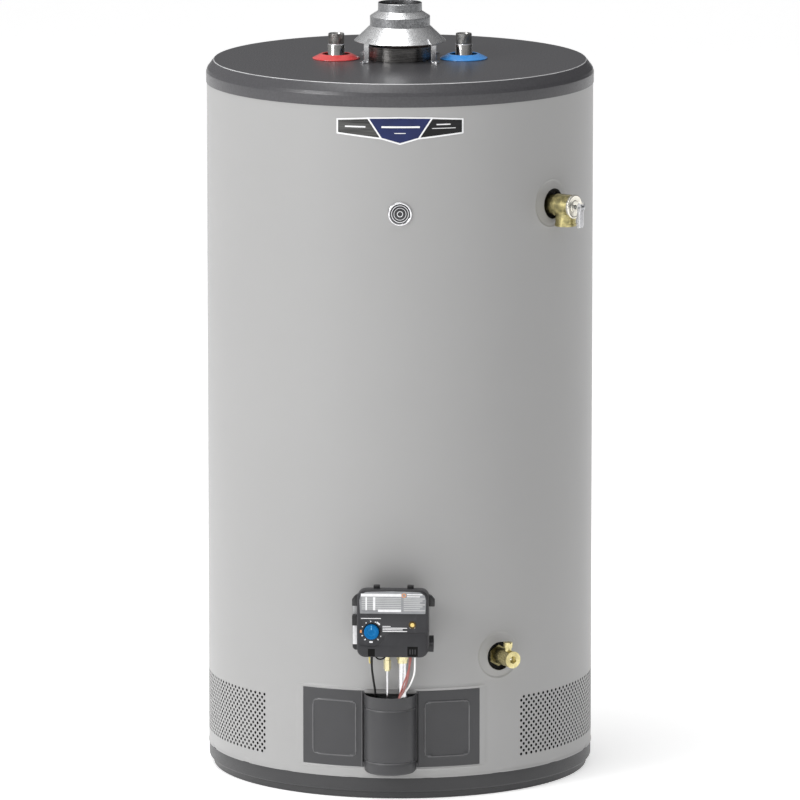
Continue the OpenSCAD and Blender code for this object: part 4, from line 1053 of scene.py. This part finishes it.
def control_marks():
    """Plain printed areas: the rating label's blocks, the scale round the knob and short bars."""
    front = cover_face()
    film = front - 0.12 * MM
    x0, z0 = COVER_X, FACE_Z

    label = rounded([(-51, 14.6), (51.5, 14.6), (52.5, 36), (50.5, 44), (43, 49), (0, 50.4), (-42, 49),
                     (-49.5, 44.5), (-52, 36)], [1, 1, 4, 5, 6, 60, 6, 5, 4], 4)
    v, f = prism([(x0 + a * MM, z0 + b * MM) for a, b in label], film - 0.1 * MM, front + 0.05 * MM)
    piece("control_label", v, flipped(f), MAT["panel_film"], slot="panel_film", stands_for="valve_panel")
    blocks = [((-49.5, 41.8), (14, 46.4)), ((-22.8, 17.4), (13.6, 21))]
    rows = [((-48.5, 38.6 - 2.9 * k), (13.5, 40.1 - 2.9 * k)) for k in range(7)]
    posts = [((-42.5, 20), (-40, 41)), ((-30.5, 20), (-27, 41))]
    right = [((17.5, 37.8 - 3.1 * k), (51 - (k % 3) * 4, 39.2 - 3.1 * k)) for k in range(7)]
    title = [((22.6, 44.4), (47, 46)), ((22.6, 41.2), (43, 42.6))]

    def boxes(name, items, material, lift):
        parts = []
        for (a, b), (c, d) in items:
            parts.append(prism([(x0 + a * MM, z0 + b * MM), (x0 + c * MM, z0 + b * MM),
                                (x0 + c * MM, z0 + d * MM), (x0 + a * MM, z0 + d * MM)],
                               film - lift * MM, front))
        v, f = join_parts(*parts)
        return piece(name, v, f, material, slot="panel_film")

    boxes("label_light_blocks", blocks + posts + title, LABEL_INK, 0.2)
    boxes("label_grey_rows", rows + right, GREY_INK, 0.16)
    bars = [((-49.5, 6.2), (-18.2, 7.4)), ((-15.6, -6.2), (-3, -5.2)), ((-15.6, -9), (22.8, -7.8)),
            ((-15.6, -11.6), (16, -10.4)), ((-15.6, -14.2), (22.8, -13)), ((27, -8.4), (35.6, -7.4))]
    boxes("face_bars", bars, WHITE_INK, 0.06)
    v, f = turned_on_x([(2.2 * MM, -0.3 * MM), (3.4 * MM, -0.3 * MM), (3.4 * MM, 0), (2.2 * MM, 0)], 40)
    piece("label_ring", aligned(v, (x0 + 17.8 * MM, film, z0 + 43.8 * MM), (0, 1, 0)), f, ORANGE_INK,
          slot="panel_film")
    ticks = []
    for a, size in ((-232, 1.6), (-205, 1.1), (-152, 0.9), (-122, 0.9), (-95, 0.9), (-68, 0.9), (28, 0.9),
                    (52, 1.4)):
        d = Vector((math.cos(a * DEG), -math.sin(a * DEG)))
        n = Vector((-d.y, d.x)) * 0.8 * MM
        c = Vector((KNOB.x, KNOB.z)) + d * (KNOB_GAP + 3.4 * MM)
        along = d * size * MM
        quad = [c - along - n, c + along - n, c + along + n, c - along + n]
        ticks.append(prism([tuple(q) for q in quad], film - 0.06 * MM, front))
    v, f = join_parts(*ticks)
    piece("knob_scale", v, f, WHITE_INK, slot="panel_film")
    near, far = KNOB_GAP + 2.8 * MM, KNOB_GAP + 5.4 * MM
    for name, first, last, ink in (("knob_warm_mark", 172, 188, ORANGE_INK),
                                   ("knob_top_mark", 40, 62, WHITE_INK),
                                   ("knob_low_mark", 258, 276, WHITE_INK)):
        bow = [(r * math.cos(a * DEG), r * math.sin(a * DEG)) for r, angles in
               ((near, range(first, last + 1, 2)), (far, range(last, first - 1, -2))) for a in angles]
        v, f = prism([(KNOB.x + a, KNOB.z + b) for a, b in bow], film - 0.06 * MM, front)
        piece(name, v, flipped(f), ink, slot="panel_film")
    lo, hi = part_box("valve_body")
    for name, low, high, ink in (("side_label", FACE_Z - 43 * MM, FACE_Z - 10.5 * MM, LABEL_INK),
                                 ("side_plate", FACE_Z + 5 * MM, hi.z - 4 * MM, GREY_INK)):
        v, f = box_mesh((lo.x + 0.3 * MM, lo.y - 0.45 * MM, low), (lo.x + 8 * MM, lo.y - 0.05 * MM, high))
        soften(piece(name, v, f, ink, slot="panel_film"), 0.18 * MM)


def knob():
    lo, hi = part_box("control_knob")
    r = (hi.x - lo.x) / 2
    grips = 20
    profile = rounded([(0, 0.5), (6.5, 0.5), (7.6, 0), (r / MM - 1.1, 0.1), (r / MM, 1.6), (r / MM, 8.6),
                       (r / MM - 0.6, 9), (3.2, 9)],
                      [0, 0.6, 0.6, 0.9, 0.9, 0.4, 0.3, 0], 4, closed=False)

    def grip(a, rr, x):
        return -0.4 * MM * (0.5 + 0.5 * math.cos(grips * a)) if rr > r - 0.9 * MM and x > 1.2 * MM else 0.0

    v, f = turned_on_x([(p[0] * MM, p[1] * MM) for p in profile], 160, closed=False, swell=grip)
    hub = turned_on_x([(3.1 * MM, 8.9 * MM), (5 * MM, 8.9 * MM), (5 * MM, 13.9 * MM), (3.1 * MM, 13.9 * MM)],
                      40)
    v, f = join_parts((v, f), hub)
    piece("knob_cap", aligned(v, (KNOB.x, lo.y, KNOB.z), (0, 1, 0)), f, MAT["knob_plastic"],
          body="control_knob", slot="knob_plastic", stands_for="control_knob", sharp=40)
    v, f = prism([(KNOB.x - 0.7 * MM, KNOB.z + 4 * MM), (KNOB.x + 0.7 * MM, KNOB.z + 4 * MM),
                  (KNOB.x + 0.7 * MM, KNOB.z + r - 1.2 * MM), (KNOB.x - 0.7 * MM, KNOB.z + r - 1.2 * MM)],
                 lo.y + 0.02 * MM, lo.y + 0.7 * MM)
    piece("knob_pointer", v, f, KNOB_INK, body="control_knob", slot="knob_plastic")


# ---- wires -------------------------------------------------------------------------------------

BLACK_ROUTE = [(-28, -380, 248), (-28.4, -379, 240), (-28.4, -370, 222), (-27, -354, 203),
               (-25.4, -340, 185), (-24.4, -331, 165), (-24, -324, 142), (-24, -312, 124),
               (-25, -298, 118), (-25, -270, 118), (-20, -200, 116), (-14, -128, 124)]
RED_ROUTE = [(33, -380, 248), (32.6, -378, 238), (27, -366, 216), (19.5, -353, 194), (14, -343, 176),
             (7, -338.5, 158), (3, -328, 140), (1, -312, 124), (1, -297, 118), (1, -270, 118),
             (1, -200, 115), (0, -128, 124)]
WHITE_ROUTE = [(39, -380, 248), (39.2, -378, 238), (37.8, -368, 216), (30, -352, 194),
               (19, -342.8, 177), (10.8, -338.4, 163), (8, -328, 146), (6.5, -314, 128),
               (6.5, -299, 119.5), (6.5, -270, 118), (5, -200, 117), (4, -128, 126)]
YELLOW_STUB = [(-32, -379, 250), (-32.2, -379, 244), (-32, -376.5, 238), (-31.4, -374, 234)]
BLACK_LOOP = [(-24, -376, 250), (-22, -377, 244), (-17, -376, 240.5), (-11, -374, 241), (-6, -370, 245),
              (-3, -366, 250)]
DUSTY_ROUTE = [(31, -377, 250), (31, -375, 240), (29.6, -367.5, 222), (26, -359.5, 203),
               (21.5, -351.5, 188), (15.6, -345, 176), (11, -341.6, 168)]


def wires():
    for name, route, r, finish, slot_name in (
            ("black_lead", BLACK_ROUTE, 1.75, MAT["black_wire"], "black_wire"),
            ("red_lead", RED_ROUTE, 1.2, MAT["red_wire"], "red_wire"),
            ("white_lead", WHITE_ROUTE, 1.45, MAT["white_wire"], "white_wire"),
            ("yellow_lead_end", YELLOW_STUB, 1.3, YELLOW_WIRE, None),
            ("black_lead_loop", BLACK_LOOP, 1.2, MAT["black_wire"], None),
            ("dusty_red_lead", DUSTY_ROUTE, 1.9, DUSTY_WIRE, None)):
        verts, faces = swept(spline([Vector(p) * MM for p in route], 5), r * MM, 14)
        piece(name, verts, faces, finish, slot=slot_name or "red_wire", stands_for=slot_name or (), sharp=60)


# ---- name strip and badge ----------------------------------------------------------------------

def curved_film(name, outline, radius, thick, material, stands_for=(), turn=0.0):
    """Thin printed film of an outline of (x, z), wrapped on the jacket."""
    step = 6 * MM
    bm = bmesh.new()
    ring = [bm.verts.new((p[0], 0, p[1])) for p in outline]
    bm.faces.new(ring)
    xs = [p[0] for p in outline]
    x = math.ceil(min(xs) / step) * step
    while x < max(xs) - 1e-6:
        geom = bm.verts[:] + bm.edges[:] + bm.faces[:]
        bmesh.ops.bisect_plane(bm, geom=geom, plane_co=(x, 0, 0), plane_no=(1, 0, 0))
        x += step
    made = bmesh.ops.extrude_face_region(bm, geom=bm.faces[:])
    outer = {v for v in made["geom"] if isinstance(v, bmesh.types.BMVert)}
    spin = Matrix.Rotation(turn * DEG, 4, "Z")
    for v in bm.verts:
        r = radius + (thick if v in outer else 0)
        a = math.asin(v.co.x / radius)
        v.co = spin @ Vector((r * math.sin(a), -r * math.cos(a), v.co.z))
    bmesh.ops.recalc_face_normals(bm, faces=bm.faces[:])
    mesh = bpy.data.meshes.new(name)
    bm.to_mesh(mesh)
    bm.free()
    obj = bpy.data.objects.new(name, mesh)
    bpy.context.scene.collection.objects.link(obj)
    mesh.materials.append(material)
    mesh.shade_smooth()
    mesh.set_sharp_from_angle(angle=30 * DEG)
    if stands_for:
        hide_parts(stands_for)
    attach(obj, HEATER)
    return obj


def name_strip():
    """Plain nameplate in three blank fields with a pale border."""
    r = JACKET_R + 0.25 * MM
    z0 = STRIP_LO.z
    span = STRIP_HI.z - STRIP_LO.z

    def at(points):
        return [(x * MM, z0 + z * MM) for x, z in points]

    border = rounded(at([(-99.2, 16), (-28.4, 8.4), (0, 0), (28.4, 8.4), (99.2, 16), (99.2, 40), (50, 43),
                         (0, span / MM), (-50, 43), (-99.2, 40)]), 0.8 * MM, 3)
    curved_film("plate_border", border, r, 0.35 * MM, WHITE_INK, "name_strip", TOP_TURN)
    side = [(96.8, 18.3), (31.8, 11.4), (50.9, 40.4), (96.8, 37.7)]
    fields = (("plate_left", [(-x, z) for x, z in side], BRUSHED_PRINT),
              ("plate_centre", [(-28.6, 11), (0, 2.8), (28.6, 11), (48.2, 40.9), (0, 41.8), (-48.2, 40.9)],
               MAT["strip_film"]),
              ("plate_right", side, BLACK_PRINT),
              ("plate_bar_wide", [(-29, 26.6), (31, 26.6), (31, 29.4), (-29, 29.4)], WHITE_INK),
              ("plate_bar_short", [(-9, 17.6), (9, 17.6), (9, 18.8), (-9, 18.8)], WHITE_INK),
              ("plate_bar_left", [(-86, 26.8), (-54, 26.8), (-54, 29.2), (-86, 29.2)], WHITE_INK),
              ("plate_bar_right", [(57, 30.6), (79, 30.6), (79, 32.4), (57, 32.4)], WHITE_INK),
              ("plate_bar_low", [(50, 25), (87, 25), (87, 26), (50, 26)], WHITE_INK))
    for name, points, material in fields:
        lift = 0.4 if "bar" in name else 0.3
        curved_film(name, rounded(at(points), 0.4 * MM, 3), r + lift * MM, 0.13 * MM, material,
                    turn=TOP_TURN)


def badge():
    """Round blank badge: bright rim, dark dome and plain rings."""
    lo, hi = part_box("badge")
    r = (hi.z - lo.z) / 2
    out = Vector((math.sin(TOP_TURN * DEG), -math.cos(TOP_TURN * DEG), 0))
    base = out * JACKET_R + Vector((0, 0, BADGE.z))
    rim = rounded([(15.6, 0.2), (15.9, 2.2), (17.2, 2.75), (18.4, 2.2), (r / MM, 0.2)],
                  [0.2, 0.5, 0.8, 0.8, 0.2], 4)
    v, f = turned_on_x([(a * MM, b * MM) for a, b in rim], 96)
    piece("badge_rim", aligned(v, base, out), f, SILVER, slot="badge_metal", stands_for="badge")
    dome = [(0, 2.5), (4, 2.48), (8, 2.38), (12, 2.15), (15.7, 1.7), (15.7, 0.3), (0, 0.3)]
    v, f = turned_on_x([(a * MM, b * MM) for a, b in rounded(dome, 0.3, 3)], 96, closed=False)
    piece("badge_dome", aligned(v, base, out), f, MAT["badge_metal"], slot="badge_metal")
    rings = []
    for radius, half in ((13.2, 0.45), (9.4, 0.35), (4.2, 0.5)):
        h = 2.5 - 0.8 * (radius / 15.7) ** 2
        near, far = (radius - half) * MM, (radius + half) * MM
        rings.append(turned_on_x([(near, (h - 0.1) * MM), (near, (h + 0.14) * MM),
                                  (far, (h + 0.12) * MM), (far, (h - 0.1) * MM)], 80))
    v, f = join_parts(*rings)
    piece("badge_rings", aligned(v, base, out), f, SILVER, slot="badge_metal")


# ---- access door -------------------------------------------------------------------------------

POCKET_R = 41 * MM
POCKET_Y = -(JACKET_R - 1 * MM)
DOOR_R = JACKET_R + 0.4 * MM
DOOR_T = 1.2 * MM
GROOVE_Z = (60 * MM, 171 * MM)         # dark slots beside the pocket
GROOVE_DEEP = 4 * MM


def door_wing(side):
    """One pressed half of the door, from the pocket to its outer edge."""
    skin = DOOR_R + DOOR_T
    z_lo, z_hi = 52 * MM, 175 * MM
    scale = JACKET_R * DEG
    start = math.degrees(math.asin(POCKET_R / skin)) + 0.05
    panel = (10.2, 23.6, 69 * MM, 157 * MM)
    ridge = 1.9 * MM
    azs = [start, start + 0.02, start + 0.42, start + 0.47, start + 0.6, start + 0.8, start + 0.95]
    azs += [DOOR_HALF - 0.4, DOOR_HALF - 0.15, DOOR_HALF]
    for edge in panel[:2]:
        azs += [edge + d * ridge / scale for d in (-1, -0.5, 0, 0.5, 1)]
    fixed = sorted(azs)
    azs = sorted(fixed + [a for a in range(9, 27) if all(abs(a - b) > 0.16 for b in fixed)])
    zs = [z_lo, z_lo + 0.8 * MM, z_lo + 2 * MM, z_hi - 2 * MM, z_hi - 0.8 * MM, z_hi]
    zs += [z + d for z, ds in zip(GROOVE_Z, ((-0.1 * MM, 0), (0, 0.1 * MM))) for d in ds]
    for edge in panel[2:]:
        zs += [edge + d * ridge for d in (-1, -0.5, 0, 0.5, 1)]
    fixed = sorted(zs)
    more = [z_lo + 6 * MM * k for k in range(1, 20)]
    zs = sorted(fixed + [z for z in more if all(abs(z - b) > 0.6 * MM for b in fixed)])

    def height(az, z):
        """Ridge round the panel, slot beside the pocket and a turned-in outer edge."""
        corner_r = 9 * MM
        cu, cz = (panel[0] + panel[1]) / 2, (panel[2] + panel[3]) / 2
        du = abs(az - cu) * scale - (panel[1] - panel[0]) / 2 * scale + corner_r
        dz = abs(z - cz) - (panel[3] - panel[2]) / 2 + corner_r
        d = Vector((max(du, 0), max(dz, 0))).length + min(max(du, dz), 0) - corner_r
        out = -0.8 * MM
        if abs(d) < ridge:
            out += 1.15 * MM * math.cos(d / ridge * math.pi / 2) ** 2
        if d < 0:
            out -= 0.25 * MM * min(1, -d / ridge)
        if start + 0.5 < az < start + 0.9:
            out += 0.6 * MM
        if start + 0.01 < az < start + 0.45 and GROOVE_Z[0] <= z <= GROOVE_Z[1]:
            out -= GROOVE_DEEP
        edge = min((DOOR_HALF - az) * scale, z - z_lo, z_hi - z)
        return out - 0.8 * MM * (1 - min(1, edge / (0.9 * MM))) ** 2

    verts, faces = [], []
    for z in zs:
        for az in azs:
            a = side * az * DEG
            r = skin + height(az, z)
            verts.append((r * math.sin(a), -r * math.cos(a), z))
    n = len(azs)
    for j in range(len(zs) - 1):
        for i in range(n - 1):
            quad = (j * n + i, j * n + i + 1, (j + 1) * n + i + 1, (j + 1) * n + i)
            faces.append(quad if side > 0 else tuple(reversed(quad)))
    return verts, faces


def access_door():
    parts = [door_wing(-1), door_wing(1)]
    reach = DOOR_R + DOOR_T - GROOVE_DEEP - 0.8 * MM
    z0, z1 = 46 * MM, 171 * MM
    low = math.degrees(math.asin(min(1, (math.sqrt(reach ** 2 - POCKET_R ** 2) + POCKET_Y) / POCKET_R)))
    groove = 1.3 * MM
    wall = POCKET_R
    lines = (z0 + 20 * MM, z1 - 20.3 * MM)

    def grooved(z):
        for centre in lines:
            d = abs(z - centre) / (2.4 * MM)
            if d < 1:
                return -groove * math.cos(d * math.pi / 2) ** 2
        return 0.0

    zs = [z0 + 5 * MM, z1 - 1 * MM, z1]
    across = (-2.5, -1.9, -1.3, -0.7, -0.3, 0, 0.3, 0.7, 1.3, 1.9, 2.5)
    zs += [centre + d * MM for centre in lines for d in across]
    bottom = [(wall - 5 * MM + 5 * MM * math.sin(k * 15 * DEG), z0 + 5 * MM - 5 * MM * math.cos(k * 15 * DEG))
              for k in range(6)]
    profile = [(0.001, z0)] + bottom + [(wall + grooved(z), z) for z in sorted(zs)]
    parts.append(turned(profile, 60, closed=False, centre=(0, POCKET_Y), start=180 + low,
                        sweep=180 - 2 * low))
    verts, faces = join_parts(*parts)
    turn = Matrix.Rotation(DOOR_TURN * DEG, 3, "Z")
    door = piece("door_pressing", [turn @ Vector(v) for v in verts], faces,
                 [MAT["door_paint"], MAT["door_painted_highlight"]], body="access_door", slot="door_paint",
                 stands_for="access_door", sharp=40)
    thicken(door, DOOR_T)
    crest = DOOR_R + DOOR_T - 0.35 * MM
    # Painted highlight: the crests of the wings' ridges and the upward faces of the pocket grooves' lower lips
    # take a lighter copy of the door paint.
    for face in door.data.polygons:
        spot = face.center
        crest_highlight = abs(spot.x) > POCKET_R + 2 * MM and crest < math.hypot(spot.x, spot.y) < crest + 2 * MM
        lip_highlight = abs(spot.x) < POCKET_R - 1 * MM and any(-2.3 * MM < spot.z - z < -0.5 * MM for z in lines)
        if crest_highlight or lip_highlight and face.normal.z > 0.3:
            face.material_index = 1


# ---- build -------------------------------------------------------------------------------------

jacket_sheet()
jacket_shade_liner()
jacket_seam()
lid_shell()
base_shell()
draft_hood()
hood_legs()
flue_ring()
pipe_nipple("hot_pipe_nipple", HOT, "hot_nipple")
pipe_nipple("cold_pipe_nipple", COLD, "cold_nipple")
escutcheon("hot_escutcheon_ring", HOT, "hot_escutcheon", "hot_plastic")
escutcheon("cold_escutcheon_ring", COLD, "cold_escutcheon", "cold_plastic")
relief_cap()
valve_cover()
cover_panels()
control_marks()
knob()
wires()
name_strip()
badge()
access_door()

PLAIN = {"foam_insulation": 0, "chamber_blanket": 0, "inner_tank": 0, "lint_screen": 0, "burner": 0,
         "hot_trap_ball": 0, "cold_trap_ball": 0, "drain_ball": 0, "relief_spring": 0, "flue_baffle": 0.2,
         "flue_tube": 0.5, "valve_body": 1.2, "support_legs": 0.5, "relief_body": 0.7, "drain_body": 0.6,
         "thermostat_probe": 0.8, "manifold_tube": 0.3, "pilot_tube": 0.2, "lever_pin": 0.2,
         "relief_lever": 0.25, "status_light": 0, "heat_trap_inserts": 0, "flame_arrestor": 0}
LOOKS = {"relief_body": "relief_brass", "left_connector": "connector", "right_connector": "connector"}
for node_name, node_obj in frame["nodes"].items():
    if not node_obj.hide_render:
        dress(node_name, LOOKS.get(node_name), PLAIN.get(node_name, 0.35))


# ---- floor, light and camera -------------------------------------------------------------------

def studio():
    mesh = bpy.data.meshes.new("floor")
    span = 60
    mesh.from_pydata([(-span, -span, 0), (span, -span, 0), (span, span, 0), (-span, span, 0)], [],
                     [(0, 1, 2, 3)])
    floor = bpy.data.objects.new("floor", mesh)
    bpy.context.scene.collection.objects.link(floor)
    mat = finish_of("pale_floor", (0.9, 0.9, 0.9), 0.85, vary=0.01, blotch=0.5, grain=40, bump=0.1)
    bsdf = mat.node_tree.nodes["Principled BSDF"]
    bsdf.inputs["Emission Color"].default_value = (1, 1, 1, 1)
    bsdf.inputs["Emission Strength"].default_value = 0.56
    mesh.materials.append(mat)

    world = bpy.data.worlds.new("studio")
    bpy.context.scene.world = world
    world.use_nodes = True
    nt = world.node_tree
    sky = nt.nodes["Background"]
    coords = nt.nodes.new("ShaderNodeTexCoord").outputs["Generated"]
    dot = nt.nodes.new("ShaderNodeVectorMath")
    dot.operation = "DOT_PRODUCT"
    dot.inputs[1].default_value = Vector((-0.62, -0.45, 0.64)).normalized()
    nt.links.new(coords, dot.inputs[0])
    colour = mix_colour(nt, grade(nt, dot.outputs["Value"], 0, 1, -0.6, 0.95), (0.12, 0.12, 0.125),
                        (1, 1, 1))
    nt.links.new(colour, sky.inputs["Color"])
    sky.inputs["Strength"].default_value = 0.64

    aim = Vector((0, 0, LID_TOP / 2))
    lamps = (("key", (-6.5, -5.5, 4.2), 3.2, 315), ("top", (-0.8, -0.6, 5.2), 2.6, 90),
             ("fill", (5.5, -6.0, 2.4), 3.5, 10))
    for name, spot, size, power in lamps:
        light = bpy.data.lights.new(name, "AREA")
        light.size = size
        light.energy = power
        lamp = bpy.data.objects.new(name, light)
        lamp.location = spot
        lamp.rotation_euler = (aim - Vector(spot)).to_track_quat("-Z", "Y").to_euler()
        bpy.context.scene.collection.objects.link(lamp)

    scene = bpy.context.scene
    scene.view_settings.view_transform = "Standard"
    reach, elevation, azimuth = 14.0995, 9.956 * DEG, TOP_TURN * DEG
    target = Vector((0, 0, 0.5877))
    back = Vector((math.sin(azimuth) * math.cos(elevation), -math.cos(azimuth) * math.cos(elevation),
                   math.sin(elevation)))
    data = bpy.data.cameras.new("camera")
    data.lens = 395.39
    data.clip_end = 200
    camera = bpy.data.objects.new("camera", data)
    camera.location = target + back * reach
    camera.rotation_euler = (-back).to_track_quat("-Z", "Y").to_euler()
    scene.collection.objects.link(camera)
    scene.camera = camera


studio()
